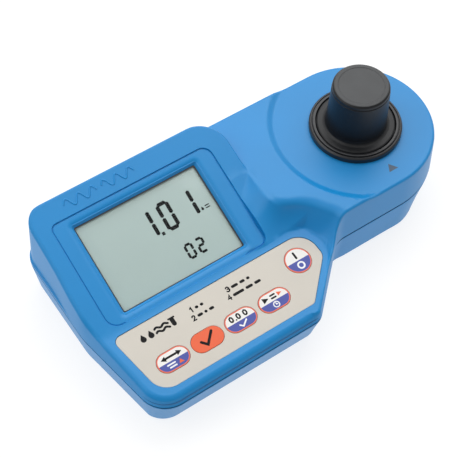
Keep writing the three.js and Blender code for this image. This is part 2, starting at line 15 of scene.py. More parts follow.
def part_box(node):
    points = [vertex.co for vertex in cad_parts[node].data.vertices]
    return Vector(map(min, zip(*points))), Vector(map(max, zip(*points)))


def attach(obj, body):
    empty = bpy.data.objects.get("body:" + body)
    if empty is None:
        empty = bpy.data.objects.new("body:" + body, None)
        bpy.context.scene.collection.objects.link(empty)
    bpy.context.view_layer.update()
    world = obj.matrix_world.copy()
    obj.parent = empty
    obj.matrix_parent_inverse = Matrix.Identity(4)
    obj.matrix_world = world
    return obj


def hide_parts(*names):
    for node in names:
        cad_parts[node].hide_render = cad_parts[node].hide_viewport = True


MM = 0.001
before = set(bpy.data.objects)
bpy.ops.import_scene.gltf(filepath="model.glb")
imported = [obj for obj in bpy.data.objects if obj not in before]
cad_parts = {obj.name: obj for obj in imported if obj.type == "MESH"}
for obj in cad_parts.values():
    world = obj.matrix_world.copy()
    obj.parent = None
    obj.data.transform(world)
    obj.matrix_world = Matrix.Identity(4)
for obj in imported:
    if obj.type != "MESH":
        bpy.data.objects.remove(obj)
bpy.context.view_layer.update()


# ---------------------------------------------------------------- places from the frame
def box_mm(node):
    low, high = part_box(node)
    return np.array(low) / MM, np.array(high) / MM


def centre_mm(node):
    low, high = box_mm(node)
    return (low + high) / 2


case_low, case_high = box_mm("upper_case")
LEFT, NEAR = case_low[0], case_low[1]
RIGHT, FAR = case_high[0], case_high[1]
HEAD = centre_mm("cuvette_cap")[:2]
HEAD_R = RIGHT - HEAD[0]
SEAM_Z = centre_mm("case_seal")[2]
SEAM_GAP = 0.42  # from the seam's middle to the edge of each case half
UNDERSIDE_Z = box_mm("lower_case")[0][2]
CAP_TOP = box_mm("cuvette_cap")[1][2]

# Heights of the flat faces; the panel and the keypad have theirs at y = 0, and rise with y.
NECK_Z = 39.7
HEAD_Z = 38.4
HEAD_STEP = (HEAD[0] + 3.0, HEAD[1], 39.7, 43.0)  # centre and the step's two radii
PANEL_Z, PANEL_SLOPE = 32.78, 0.351
KEYPAD_Z, KEYPAD_SLOPE = 29.95, 0.118
CREASE_Y = (KEYPAD_Z - PANEL_Z) / (PANEL_SLOPE - KEYPAD_SLOPE)  # where the two faces meet
BLOCK_X = 3.0  # right edge of the display block
LEVEL_Y = (NECK_Z - PANEL_Z) / PANEL_SLOPE  # where the panel is as high as the neck
BLOCK_CORNER_R = 14.0


class Plane:
    """A tilted drawing plane: x along X, v up the slope, n along its normal."""

    def __init__(self, z, slope):
        tilt = math.atan(slope)
        self.z, self.cos, self.sin = z, math.cos(tilt), math.sin(tilt)

    def put(self, x, v, n=0.0):
        return (x, v * self.cos - n * self.sin, self.z + v * self.sin + n * self.cos)

    def v_of(self, y):
        return y / self.cos


panel = Plane(PANEL_Z, PANEL_SLOPE)
keypad = Plane(KEYPAD_Z, KEYPAD_SLOPE)


def smoothstep(a, b, x):
    t = np.clip((x - a) / (b - a), 0, 1)
    return t * t * (3 - 2 * t)


def mix(a, b, t):
    return a + (b - a) * t


# ---------------------------------------------------------------- materials
def linear(r, g, b):
    """Screen colour 0-255 to linear."""
    return tuple(((c / 255 + 0.055) / 1.055) ** 2.4 if c > 10 else c / 255 / 12.92
                 for c in (r, g, b))


class Nodes:
    """Adds and wires shader nodes. A value is a plain one or another node's output."""

    def __init__(self, tree):
        self.tree = tree

    def add(self, kind, **values):
        node = self.tree.nodes.new(kind)
        for key, value in values.items():
            if key not in node.inputs.keys():
                setattr(node, key, value)
            elif isinstance(value, bpy.types.NodeSocket):
                self.link(value, node.inputs[key])
            else:
                node.inputs[key].default_value = value
        return node

    def link(self, source, target):
        self.tree.links.new(source, target)

    def ramp(self, source, low, high, start=0.0, end=1.0, **values):
        """The source, with the range start to end turned into low to high."""
        node = self.add("ShaderNodeMapRange", Value=source, **values)
        for key, value in (("From Min", start), ("From Max", end), ("To Min", low), ("To Max", high)):
            node.inputs[key].default_value = value
        return node.outputs["Result"]

    def blend(self, share, first, second):
        """Mix of two shaders, share 0 giving the first."""
        node = self.add("ShaderNodeMixShader", Fac=share)
        self.link(first, node.inputs[1])
        self.link(second, node.inputs[2])
        return node.outputs[0]

    def bump(self, source, strength):
        node = self.add("ShaderNodeBump", Strength=strength, Distance=GRAIN_DEPTH, Height=source)
        return node.outputs["Normal"]


GRAIN_DEPTH = 0.05 * MM


def surface(name, color, roughness, vary=0.04, grain=0.0, grain_size=0.4, metallic=0.0,
            specular=0.5, blotch=8.0, rough_vary=0.05, glow=0.0):
    """Principled material with colour drift, uneven roughness and a fine moulded grain."""
    material = bpy.data.materials.new(name)
    material.use_nodes = True
    kit = Nodes(material.node_tree)
    shader = material.node_tree.nodes["Principled BSDF"]
    where = kit.add("ShaderNodeTexCoord").outputs["Object"]
    drift = kit.add("ShaderNodeTexNoise", Vector=where, Scale=1 / (blotch * MM), Detail=4.0)
    # Inputs 6 and 7 of a colour mix are its two colours, and output 2 is the mixed colour.
    base = kit.add("ShaderNodeMix", data_type="RGBA", blend_type="MULTIPLY")
    base.inputs["Factor"].default_value = 1.0
    base.inputs[6].default_value = (*color, 1)
    kit.link(kit.ramp(drift.outputs["Fac"], 1 - vary, 1 + vary, 0.3, 0.7), base.inputs[7])
    fine = kit.add("ShaderNodeTexNoise", Vector=where, Scale=1 / (grain_size * MM), Detail=3.0)
    rough = kit.ramp(fine.outputs["Fac"], max(0.02, roughness - rough_vary), roughness + rough_vary)
    kit.link(base.outputs[2], shader.inputs["Base Color"])
    kit.link(base.outputs[2], shader.inputs["Emission Color"])
    kit.link(rough, shader.inputs["Roughness"])
    if grain:
        kit.link(kit.bump(fine.outputs["Fac"], grain), shader.inputs["Normal"])
    shader.inputs["Metallic"].default_value = metallic
    shader.inputs["Specular IOR Level"].default_value = specular
    shader.inputs["Emission Strength"].default_value = glow
    return material


def clear(name, tint, roughness, body, head_on=0.035):
    """Thin clear plastic or glass: a tint, and a reflection that grows from head_on to grazing."""
    material = bpy.data.materials.new(name)
    material.use_nodes = True
    material.node_tree.nodes.clear()
    kit = Nodes(material.node_tree)
    where = kit.add("ShaderNodeTexCoord").outputs["Object"]
    wave = kit.add("ShaderNodeTexNoise", Vector=where, Scale=120.0, Detail=2.0)
    through = kit.add("ShaderNodeBsdfTransparent", Color=(*tint, 1))
    haze = kit.add("ShaderNodeBsdfDiffuse", Color=(*tint, 1))
    gloss = kit.add("ShaderNodeBsdfGlossy", Roughness=roughness,
                    Normal=kit.bump(wave.outputs["Fac"], 0.02))
    steep = kit.add("ShaderNodeMath", operation="POWER")
    kit.link(kit.add("ShaderNodeLayerWeight", Blend=0.5).outputs["Facing"], steep.inputs[0])
    steep.inputs[1].default_value = 5.0
    inner = kit.blend(body, through.outputs[0], haze.outputs[0])
    outer = kit.blend(kit.ramp(steep.outputs[0], head_on, 0.8), inner, gloss.outputs[0])
    kit.link(outer, kit.add("ShaderNodeOutputMaterial").inputs["Surface"])
    return material


def printed(name, screen_color, vary, **more):
    """Satin print or lacquer, its colour given as on screen."""
    return surface(name, linear(*screen_color), 0.42, vary=vary, grain=0.06, grain_size=0.25, **more)


BLUE = surface("moulded_blue", (0.002, 0.243, 0.60), 0.40, vary=0.03, grain=0.10,
               grain_size=0.35, blotch=30)
# Dark blue: the battery box's own colour, and painted shade on the case halves' rim faces inside the
# seam gap.
BLUE_SEAM_SHADE_AND_INSIDE = surface("blue_seam_painted_shade_and_inside", (0.002, 0.08, 0.22), 0.6, grain=0.1)
BLACK = surface("moulded_black", (0.006, 0.007, 0.009), 0.42, vary=0.2, grain=0.12,
                grain_size=0.3, rough_vary=0.08, specular=0.4)
BLACK_TOP = surface("matt_black", (0.050, 0.053, 0.056), 0.5, vary=0.08, grain=0.2,
                    grain_size=0.25, rough_vary=0.08, specular=0.45)
BLACK_FINE = surface("satin_black", (0.016, 0.017, 0.020), 0.30, vary=0.2, grain=0.05,
                     grain_size=0.2, rough_vary=0.06)
RUBBER = surface("seal_rubber", (0.010, 0.014, 0.022), 0.75, vary=0.25, grain=0.5, grain_size=0.6)
STEEL = surface("plated_steel", (0.58, 0.59, 0.61), 0.28, vary=0.06, grain=0.12,
                grain_size=0.15, metallic=1.0, rough_vary=0.12)
FILM = printed("printed_film", (206, 200, 189), 0.012, blotch=12)
KEY_WHITE = printed("key_print_white", (236, 234, 230), 0.012)
KEY_INDIGO = printed("key_print_indigo", (58, 72, 160), 0.04)
KEY_ORANGE = printed("key_print_orange", (233, 92, 42), 0.03)
KEY_RING = printed("key_print_ring", (232, 110, 84), 0.05)
INK = surface("print_ink", linear(18, 17, 19), 0.5, vary=0.1, grain=0.05, grain_size=0.2,
              specular=0.15)
INK_WHITE = surface("print_white", linear(240, 240, 242), 0.45, vary=0.02, grain=0.05)
# The display panel has a faint glow: painted light, since a reflective display gives none of its own.
LCD_PAINTED_GLOW = surface("lcd_panel_painted_glow", linear(170, 186, 184), 0.24, vary=0.012, grain=0.02,
              grain_size=0.15, blotch=20, glow=0.11)
SEGMENT = surface("lcd_segments", linear(12, 15, 17), 0.5, vary=0.08, grain=0.02, specular=0.1)
BOARD = surface("solder_mask", (0.012, 0.10, 0.035), 0.35, vary=0.15, grain=0.15, blotch=3)
WHITE_SOFT = surface("soft_white_plastic", (0.80, 0.80, 0.77), 0.5, vary=0.03, grain=0.1)
SHELL_CAN = surface("battery_can", (0.05, 0.05, 0.056), 0.33, vary=0.2, grain=0.1,
                    metallic=0.5, blotch=5)
RED_LEAD = surface("lead_red", (0.52, 0.02, 0.015), 0.45, vary=0.1, grain=0.1)
MARK_GREY = surface("mark_grey", linear(58, 82, 104), 0.45, vary=0.05, grain=0.05)
WINDOW = clear("window_clear", (0.99, 1.0, 0.995), 0.05, 0.0, head_on=0.01)
GLASS = clear("vial_glass", (0.90, 0.96, 0.95), 0.02, 0.05)
FILTER = clear("filter_glass", (0.25, 0.75, 0.45), 0.02, 0.35)


# ---------------------------------------------------------------- mesh making
def face_normals(points, faces):
    """Area-weighted normals (not unit length) by Newell's method."""
    normals = np.zeros((len(faces), 3))
    by_size = {}
    for i, face in enumerate(faces):
        by_size.setdefault(len(face), []).append(i)
    for size, rows in by_size.items():
        corner = points[np.array([faces[i] for i in rows])]
        total = np.zeros((len(rows), 3))
        for k in range(size):
            a, b = corner[:, k] - corner[:, 0], corner[:, (k + 1) % size] - corner[:, 0]
            total += np.cross(a, b)
        normals[rows] = total / 2
    return normals


HINT_COS = math.cos(math.radians(38))  # a hint further than this from the face is not used


def corner_normals(points, faces, hint, angle):
    """One normal per face corner: the hint where it agrees with the face, or else the average
    of the neighbouring faces within the angle."""
    weighted = face_normals(points, faces)
    length = np.linalg.norm(weighted, axis=1)
    unit = weighted / np.maximum(length, 1e-12)[:, None]
    corner_point = np.array([p for face in faces for p in face])
    corner_face = np.repeat(np.arange(len(faces)), [len(face) for face in faces])
    order = np.argsort(corner_point, kind="stable")
    sorted_points = corner_point[order]
    first = np.searchsorted(sorted_points, np.arange(len(points)))
    count = np.bincount(corner_point, minlength=len(points))
    widest = int(count.max())
    around = np.full((len(points), widest), -1)
    for k in range(widest):
        has = count > k
        around[has, k] = corner_face[order[first[has] + k]]
    candidates = around[corner_point]
    valid = candidates >= 0
    close = np.einsum("ij,ikj->ik", unit[corner_face], unit[candidates]) > math.cos(angle)
    share = (valid & close).astype(float)
    total = np.einsum("ik,ikj->ij", share, weighted[candidates])
    size = np.linalg.norm(total, axis=1)
    normals = np.where(size[:, None] > 1e-12, total / np.maximum(size, 1e-12)[:, None],
                       unit[corner_face])
    if hint is not None:
        wanted = hint[corner_point]
        agrees = np.einsum("ij,ij->i", np.nan_to_num(wanted), unit[corner_face]) > HINT_COS
        agrees &= ~np.isnan(wanted).any(axis=1)
        normals[agrees] = wanted[agrees]
    return normals


class Build:
    """Collects points (mm) and faces with a material number, then makes one object."""

    def __init__(self):
        self.points, self.faces, self.slots, self.hints = [], [], [], []

    def add(self, points, hints=None):
        start = len(self.points)
        self.points.extend(tuple(float(c) for c in p) for p in points)
        nothing = (math.nan,) * 3
        self.hints.extend([nothing] * len(points) if hints is None else [tuple(h) for h in hints])
        return list(range(start, len(self.points)))

    def face(self, corners, slot=0):
        corners = list(corners)
        kept = [c for i, c in enumerate(corners) if c != corners[i - 1]]
        if len(kept) > 2:
            self.faces.append(tuple(kept))
            self.slots.append(slot)

    def ring(self, place, loop, n):
        """Points of a flat loop, n over the drawing plane."""
        return self.add([place.put(x, v, n) for x, v in loop])

    def bridge(self, ring_a, ring_b, slot=0, closed=True):
        count = len(ring_a)
        for i in range(count if closed else count - 1):
            j = (i + 1) % count
            self.face((ring_a[i], ring_a[j], ring_b[j], ring_b[i]), slot)

    def rings(self, rings, slot=0, closed=True):
        for a, b in zip(rings[:-1], rings[1:]):
            self.bridge(a, b, slot, closed)

    def fill(self, ring, flip=False):
        self.face(ring[::-1] if flip else ring)

    def sheet(self, boundary, holes, add_points, known=(), lines=(), spots=(), slot_of=None,
              flip=False):
        """Fills the region between boundary and holes, where known are the points that the
        boundary has already. Returns the points of the boundary and of each hole."""
        xy, tris, home = triangulate(boundary, holes, lines, spots)
        ids = {home[i]: point for i, point in enumerate(known)}
        fresh = [i for i in range(len(xy)) if i not in ids]
        ids.update(zip(fresh, add_points(xy[fresh])))
        slots = slot_of(xy[tris].mean(axis=1)) if slot_of else [0] * len(tris)
        for corners, slot in zip(tris.tolist(), slots):
            self.face([ids[k] for k in (reversed(corners) if flip else corners)], int(slot))
        loops, first = [], 0
        for loop in [boundary, *holes]:
            loops.append([ids[home[first + k]] for k in range(len(loop))])
            first += len(loop)
        return loops

    def make(self, name, body, materials, slot, replaces=(), angle=32.0):
        points = np.array(self.points, float)
        normals = corner_normals(points, self.faces, np.array(self.hints, float), math.radians(angle))
        mesh = bpy.data.meshes.new(name)
        mesh.from_pydata((points * MM).tolist(), [], self.faces)
        mesh.polygons.foreach_set("use_smooth", [True] * len(self.faces))
        mesh.polygons.foreach_set("material_index", self.slots)
        for material in materials:
            mesh.materials.append(material)
        mesh.normals_split_custom_set(normals.tolist())
        piece = bpy.data.objects.new(name, mesh)
        bpy.context.scene.collection.objects.link(piece)
        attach(piece, body)
        if replaces:
            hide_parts(*replaces)


def arc_points(cx, cy, r, a0, a1, steps):
    return [(cx + r * math.cos(math.radians(a)), cy + r * math.sin(math.radians(a)))
            for a in np.linspace(a0, a1, steps + 1)]


def rounded(corners, spacing=2.5, turn=7.0):
    """Closed outline through corners (x, y, radius), anticlockwise, as a dense point array."""
    points = []
    count = len(corners)
    for i, (x, y, r) in enumerate(corners):
        here = np.array([x, y], float)
        before = np.array(corners[i - 1][:2], float) - here
        after = np.array(corners[(i + 1) % count][:2], float) - here
        before /= np.linalg.norm(before)
        after /= np.linalg.norm(after)
        if r <= 0:
            points.append(here)
            continue
        half = math.acos(np.clip(before @ after, -1, 1)) / 2
        middle = (before + after) / np.linalg.norm(before + after)
        centre = here + middle * r / math.sin(half)
        start = here + before * r / math.tan(half) - centre
        total = math.pi - 2 * half
        sign = 1 if before[0] * after[1] - before[1] * after[0] < 0 else -1
        steps = max(2, int(math.ceil(math.degrees(total) / turn)))
        for k in range(steps + 1):
            a = sign * total * k / steps
            points.append(centre + np.array([start[0] * math.cos(a) - start[1] * math.sin(a),
                                             start[0] * math.sin(a) + start[1] * math.cos(a)]))
    dense = []
    for i, p in enumerate(points):
        q = points[(i + 1) % len(points)]
        gap = np.linalg.norm(q - p)
        if gap < 0.01:
            continue
        parts = max(1, int(math.ceil(gap / spacing)))
        dense.extend(p + (q - p) * k / parts for k in range(parts))
    return np.array(dense)


def rounded_rect(x0, x1, y0, y1, radii, per_corner=8, per_side=12):
    """Rounded rectangle with the same number of points whatever its size.
    The four radii start at the lower left and go round anticlockwise."""
    spots = [(x0, y0, 1, 1, 180), (x1, y0, -1, 1, 270), (x1, y1, -1, -1, 0), (x0, y1, 1, -1, 90)]
    corners = []
    for (x, y, sx, sy, a0), r in zip(spots, radii):
        corners.append(arc_points(x + sx * r, y + sy * r, r, a0, a0 + 90, per_corner))
    points = []
    for i, corner in enumerate(corners):
        points.extend(corner)
        a, b = np.array(corner[-1]), np.array(corners[(i + 1) % 4][0])
        points.extend(tuple(a + (b - a) * k / per_side) for k in range(1, per_side))
    return np.array(points)


def circle(x, y, r, steps):
    turns = [2 * math.pi * k / steps for k in range(steps)]
    return np.array([(x + r * math.cos(a), y + r * math.sin(a)) for a in turns])


def inside(polygon, points):
    """Even-odd test of points (n, 2) in a closed polygon."""
    x, y = points[:, 0][:, None], points[:, 1][:, None]
    x0, y0 = polygon[:, 0][None], polygon[:, 1][None]
    x1, y1 = np.roll(polygon[:, 0], -1)[None], np.roll(polygon[:, 1], -1)[None]
    crosses = (y0 > y) != (y1 > y)
    with np.errstate(divide="ignore", invalid="ignore"):
        at = x0 + (y - y0) / np.where(y1 == y0, 1e-9, y1 - y0) * (x1 - x0)
    return (crosses & (x < at)).sum(axis=1) % 2 == 1


def triangulate(boundary, holes, lines, spots):
    """Triangles of the region inside boundary and outside the holes, with constraint lines.
    Returns points (n, 2), triangles, and where each given point went; the given points count
    through the boundary first, then the holes."""
    points, edges = [], []

    def chain(path, closed):
        start, count = len(points), len(path)
        points.extend(Vector((float(x), float(y))) for x, y in path)
        steps = range(count if closed else count - 1)
        edges.extend((start + i, start + (i + 1) % count) for i in steps)

    for path in [boundary, *holes]:
        chain(path, True)
    for path in lines:
        chain(path, False)
    points.extend(Vector((float(x), float(y))) for x, y in spots)
    corners, _, tris, origin = delaunay_2d_cdt(points, edges, [], 0, 1e-6, True)[:4]
    xy = np.array([(corner[0], corner[1]) for corner in corners])
    tris = np.array([t for t in tris if len(t) == 3])
    middle = xy[tris].mean(axis=1)
    keep = inside(np.asarray(boundary), middle)
    for hole in holes:
        keep &= ~inside(np.asarray(hole), middle)
    tris = tris[keep]
    a, b, c = xy[tris[:, 0]], xy[tris[:, 1]], xy[tris[:, 2]]
    area = (b[:, 0] - a[:, 0]) * (c[:, 1] - a[:, 1]) - (b[:, 1] - a[:, 1]) * (c[:, 0] - a[:, 0])
    tris[area < 0] = tris[area < 0][:, ::-1]
    home = {given: i for i, sources in enumerate(origin) for given in sources}
    # A sliver just outside a straight stretch runs the boundary's edges backwards.
    rim = [home[i] for i in range(len(boundary))]
    x, y = xy[rim].T
    if (x * np.roll(y, -1) - y * np.roll(x, -1)).sum() < 0:
        rim.reverse()
    backwards = set(zip(rim, [rim[-1], *rim]))
    tris = [t for t in tris.tolist() if not any((t[k - 1], t[k]) in backwards for k in range(3))]
    return xy, np.array(tris), home


# ---------------------------------------------------------------- the upper case as a field
# X from, x to and spacing of closer columns, where the display block's corner meets the far wall.
FAR_DENSE = (-14.0, 5.0, 0.35)


def seam_outline():
    """Plan outline of the case at its seam: a point for each column of the walls."""
    outline = rounded([
        (-88, NEAR, 13), (-6.8, NEAR, 8), (22.7, FAR - 2 * HEAD_R, 10),
        (RIGHT, FAR - 2 * HEAD_R, HEAD_R), (RIGHT, FAR, HEAD_R), (LEFT, FAR, 12), (LEFT, -3, 40),
    ], spacing=2.2, turn=3.2)
    x_from, x_to, step = FAR_DENSE
    keep = [p for p in outline if not (abs(p[1] - FAR) < 0.01 and x_from < p[0] < x_to)]
    at = next(i for i, p in enumerate(keep) if abs(p[1] - FAR) < 0.01 and p[0] <= x_from)
    extra = [np.array([x, FAR]) for x in np.arange(x_to, x_from, -step)]
    return np.array(keep[:at] + extra + keep[at:])


SEAM_OUTLINE = seam_outline()
COLUMNS = len(SEAM_OUTLINE)


def outward(points):
    ahead, behind = np.roll(points, -1, axis=0), np.roll(points, 1, axis=0)
    a = points - behind
    b = ahead - points
    a /= np.linalg.norm(a, axis=1)[:, None]
    b /= np.linalg.norm(b, axis=1)[:, None]
    n = np.stack([a[:, 1] + b[:, 1], -a[:, 0] - b[:, 0]], axis=1)
    return n / np.linalg.norm(n, axis=1)[:, None]


OUT = outward(SEAM_OUTLINE)


def panel_height(y):
    return PANEL_Z + PANEL_SLOPE * y


def keypad_height(y):
    return KEYPAD_Z + KEYPAD_SLOPE * y


def neck_share(x, y):
    """0 on the display end, 1 on the neck and head."""
    return np.where(y < 0, smoothstep(10, 20, x), smoothstep(-9, -4, x))


def column_values():
    """Lean of the wall, edge radius, lip and reach inwards, for each outline point."""
    x, y = SEAM_OUTLINE.T
    ny = OUT[:, 1]
    neck = neck_share(x, y)
    diagonal = smoothstep(-12, -5, x) * (y < -20)
    near, far = np.clip(-ny, 0, 1) ** 2, np.clip(ny, 0, 1) ** 2

    def value(left_end, on_diagonal, on_neck):
        return mix(mix(left_end, on_diagonal, diagonal), on_neck, neck)

    height = np.maximum(panel_height(y), keypad_height(y))
    height = mix(height, NECK_Z - 1.0 * (x > 40), neck)
    lean = value(mix(2.0, 2.2, near), 1.1, 0.9) / (height - SEAM_Z)
    radius = value(mix(mix(1.7, 1.4, near), 1.2, far), 1.1, 1.3)
    lip = 0.7 * smoothstep(5, 25, y) * (1 - neck)
    return lean, radius, lip, value(5.2, 3.7, 4.5)


LEAN, RADIUS, LIP, REACH = column_values()
LIP_Z = (22.0, 22.5)
NEAREST_BATCH = 4000  # points worked on at a time, to save memory


def nearest(xy):
    """Distance inside the seam outline and the wall values at the closest place."""
    a = SEAM_OUTLINE
    b = np.roll(a, -1, axis=0)
    d = b - a
    size2 = (d ** 2).sum(axis=1)
    best, values = np.zeros(len(xy)), np.zeros((len(xy), 4))
    table = np.stack([LEAN, RADIUS, LIP, REACH], axis=1)
    after = np.roll(table, -1, axis=0)
    for start in range(0, len(xy), NEAREST_BATCH):
        batch = slice(start, start + NEAREST_BATCH)
        p = xy[batch]
        rel = p[:, None] - a[None]
        t = np.clip((rel * d[None]).sum(axis=2) / size2[None], 0, 1)
        off = rel - t[..., None] * d[None]
        dist = (off ** 2).sum(axis=2)
        k = dist.argmin(axis=1)
        row = np.arange(len(p))
        side = d[k, 0] * rel[row, k, 1] - d[k, 1] * rel[row, k, 0]
        best[batch] = np.sqrt(dist[row, k]) * np.where(side >= 0, 1, -1)
        share = t[row, k][:, None]
        values[batch] = table[k] * (1 - share) + after[k] * share
    return best, values


def round_max(a, b, r):
    return np.minimum(-r, np.maximum(a, b)) + np.hypot(np.maximum(a + r, 0), np.maximum(b + r, 0))


def round_min(a, b, r):
    return -round_max(-a, -b, r)


SCOOP = (2.0, -24.0)  # axis of the hollow beside the power key
SCOOP_Z = (28.2, NECK_Z)
RAMP = 0.95  # run over rise where the neck falls to the panel
LEANING_Z = 50.0  # the height at which the block's leaning walls have their named places
RIGHT_DRAFT, BACK_DRAFT = 0.04, 0.066  # how far those walls lean out for each mm down
BLOCK_BACK = FAR - 2.7
AWAY = 60.0  # a distance that takes a shape out of play


def block_edge(y):
    """X of the display block's right edge, leaning left where the neck stands over the panel."""
    return BLOCK_X - 1.6 * np.clip((LEVEL_Y - np.asarray(y)) / 20, 0, 1)


def scoop_reach(x, y):
    """Plan distance from the scoop's axis, which runs on and widens over the diagonal wall."""
    dx, dy = x - SCOOP[0], y - SCOOP[1]
    along, across = (dx + dy) / math.sqrt(2), (dx - dy) / math.sqrt(2)
    return np.where(along < 0, np.abs(across) + 0.1 * along, np.hypot(dx, dy))


def scoop_radius(z, theta):
    """Plan radius of the scoop beside the power key: steep at the left, a ramp to the right."""
    foot = 13.1 + 1.2 * smoothstep(30, 60, theta) + 2.6 * smoothstep(45, 90, theta)
    top = 21.1 + 1.4 * smoothstep(66, 88, theta) + 1.8 * smoothstep(30, 5, theta)
    t = (z - SCOOP_Z[0]) / (SCOOP_Z[1] - SCOOP_Z[0])
    t = np.where(t > 0, np.abs(t) ** 0.85, t)
    return foot + (top - foot) * t


def block_distance(x, y, z):
    """The display block's right wall and rounded far corner, which act only above the neck."""
    right = BLOCK_X + (LEANING_Z - z) * RIGHT_DRAFT
    back = BLOCK_BACK + (LEANING_Z - z) * BACK_DRAFT - 0.5 * smoothstep(42, 49, z)
    qx, qy = x - (right - BLOCK_CORNER_R), y - (back - BLOCK_CORNER_R)
    corner = np.where((qx > 0) & (qy > 0), np.hypot(qx, qy), np.maximum(qx, qy)) - BLOCK_CORNER_R
    return corner - AWAY * (1 - smoothstep(36.0, 38.6, z))


def head_distance(x, y, z):
    """Flat top of the neck with a shallow step down to the head."""
    step_x, step_y, inner_r, outer_r = HEAD_STEP
    rise = np.clip((np.hypot(x - step_x, y - step_y) - inner_r) / (outer_r - inner_r), 0, 1)
    rise = mix(rise, smoothstep(0, 1, rise), 0.45)
    return z - mix(HEAD_Z, NECK_Z, rise)


def neck_side_distance(x, y, z):
    """Where the neck ends to the left: a ramp beside the display, and the scoop nearer by."""
    left = (block_edge(y) - (NECK_Z - z) * RAMP - x) / math.hypot(1, RAMP)
    left = left - AWAY * smoothstep(LEVEL_Y - 0.4, LEVEL_Y + 1.2, y)
    theta = np.clip(np.degrees(np.arctan2(y - SCOOP[1], x - SCOOP[0])), -40, 95)
    cone = scoop_radius(z, theta) - scoop_reach(x, y)
    return round_max(left, cone * mix(0.75, 0.98, smoothstep(45, 80, theta)), 6.0)


def field(xy, z, wall=None):
    """Rounded distance to the upper case's outer skin: below 0 inside."""
    x, y = xy.T
    depth, values = nearest(xy) if wall is None else wall
    lean, radius, lip, _ = values.T
    panel_top = (z - panel_height(y)) * panel.cos
    keypad_top = (z - keypad_height(y)) * keypad.cos
    pod = round_max(round_min(panel_top, keypad_top, 0.35), block_distance(x, y, z), 0.9)
    top_edge = mix(0.5, 2.5, smoothstep(2.0, 5.0, x))
    neck = round_max(neck_side_distance(x, y, z), head_distance(x, y, z), top_edge)
    blend = 0.5 + 5.5 * smoothstep(-13.5, -10, y) * smoothstep(-LEVEL_Y, -6, -y)
    inset = lean * (z - SEAM_Z) + lip * smoothstep(*LIP_Z, z)
    wall_side = (inset - depth) / np.sqrt(1 + lean ** 2)
    return round_max(round_min(pod, neck, blend), wall_side, radius)


def crossing(low, high, outside, rounds):
    """Bisection, for many places at once, of where outside(value) turns true."""
    for _ in range(rounds):
        middle = (low + high) / 2
        over = outside(middle)
        high = np.where(over, middle, high)
        low = np.where(over, low, middle)
    return (low + high) / 2


def surface_height(xy):
    """Height of the skin over each plan point."""
    wall = nearest(xy)
    low, high = np.full(len(xy), SEAM_Z - 2.0), np.full(len(xy), 60.0)
    return crossing(low, high, lambda z: field(xy, z, wall) > 0, 34)


def surface_normal(points, step=0.02):
    """Unit outward normal of the skin at each point."""
    gradient = np.zeros_like(points)
    for axis in range(3):
        shift = np.zeros(3)
        shift[axis] = step
        ahead, behind = points + shift, points - shift
        gradient[:, axis] = field(ahead[:, :2], ahead[:, 2]) - field(behind[:, :2], behind[:, 2])
    return gradient / np.linalg.norm(gradient, axis=1)[:, None]


def cast(origin, direction, reach=16.0):
    """Where rays from inside the case leave its skin."""
    def outside(distance):
        at = origin + direction * distance[:, None]
        return field(at[:, :2], at[:, 2]) > 0

    low, high = np.zeros(len(origin)), np.full(len(origin), reach)
    return origin + direction * crossing(low, high, outside, 30)[:, None]


def outline_inset(amount):
    """The seam outline moved inwards by amount (one number or one per column)."""
    a = SEAM_OUTLINE - np.roll(SEAM_OUTLINE, 1, axis=0)
    a /= np.linalg.norm(a, axis=1)[:, None]
    miter = 1 / np.maximum(0.6, (OUT * np.stack([a[:, 1], -a[:, 0]], axis=1)).sum(axis=1))
    return SEAM_OUTLINE - OUT * (np.broadcast_to(amount, COLUMNS) * miter)[:, None]


def at_z(xy, z):
    return np.column_stack([xy, np.broadcast_to(z, len(xy))])


# Display opening and the sunk frame around it, in the panel's plane.
window_low, window_high = box_mm("display_window")
WINDOW_X = (window_low[0] - 0.7, window_high[0] + 0.7)
WINDOW_V = (-7.1, 35.1)
FRAME_X = (-85.9, -6.1)
FRAME_V = (-11.55, 40.2)
FRAME_RADII = (6.0, 4.0, 5.0, 3.2)
FRAME_STEP = 0.45
WINDOW_STEP = 2.01  # from the frame down to the ledge over the window

# The film's outline, and how its pocket goes down from the keypad's surface.
FILM_OUTLINE = rounded([
    (-82.3, keypad.v_of(-44.65), 9), (-5.85, keypad.v_of(-44.65), 3),
    (10.9, keypad.v_of(-27.8), 5), (10.4, keypad.v_of(-14.15), 9),
    (-87.7, keypad.v_of(-14.15), 3),
], spacing=3.0, turn=6.0)
FILM_TOP, FILM_BOTTOM = -0.35, -0.95
POCKET_GAP, POCKET_DEPTH = 0.2, 1.25

KEY_NAMES = ["range", "check", "zero", "read", "power"]
KEY_STADIUM = (7.5, 4.5)
POWER_R = 6.0
STEM_R = 2.0


def key_place(name):
    x, y, _ = centre_mm("key_" + name)
    return x, keypad.v_of(y - 0.12)


KEY_PLACES = {name: key_place(name) for name in KEY_NAMES}

# Circles of the collar's socket in the head, in columns.
SOCKET_R, SOCKET_COLUMNS = 18.6, 96


def offset_loop(points, amount):
    """Closed anticlockwise loop moved outwards by amount."""
    return points + outward(points) * amount


def frame_rect(grow):
    return rounded_rect(FRAME_X[0] - grow, FRAME_X[1] + grow, FRAME_V[0] - grow, FRAME_V[1] + grow,
                        [max(0.3, r + grow) for r in FRAME_RADII])


def window_rect(grow, r):
    return rounded_rect(WINDOW_X[0] - grow, WINDOW_X[1] + grow, WINDOW_V[0] - grow,
                        WINDOW_V[1] + grow, [r] * 4)


def skin(build, points):
    """Adds points that lie on the case's outer skin, with its true normals."""
    points = np.asarray(points, float)
    return build.add(points, surface_normal(points))


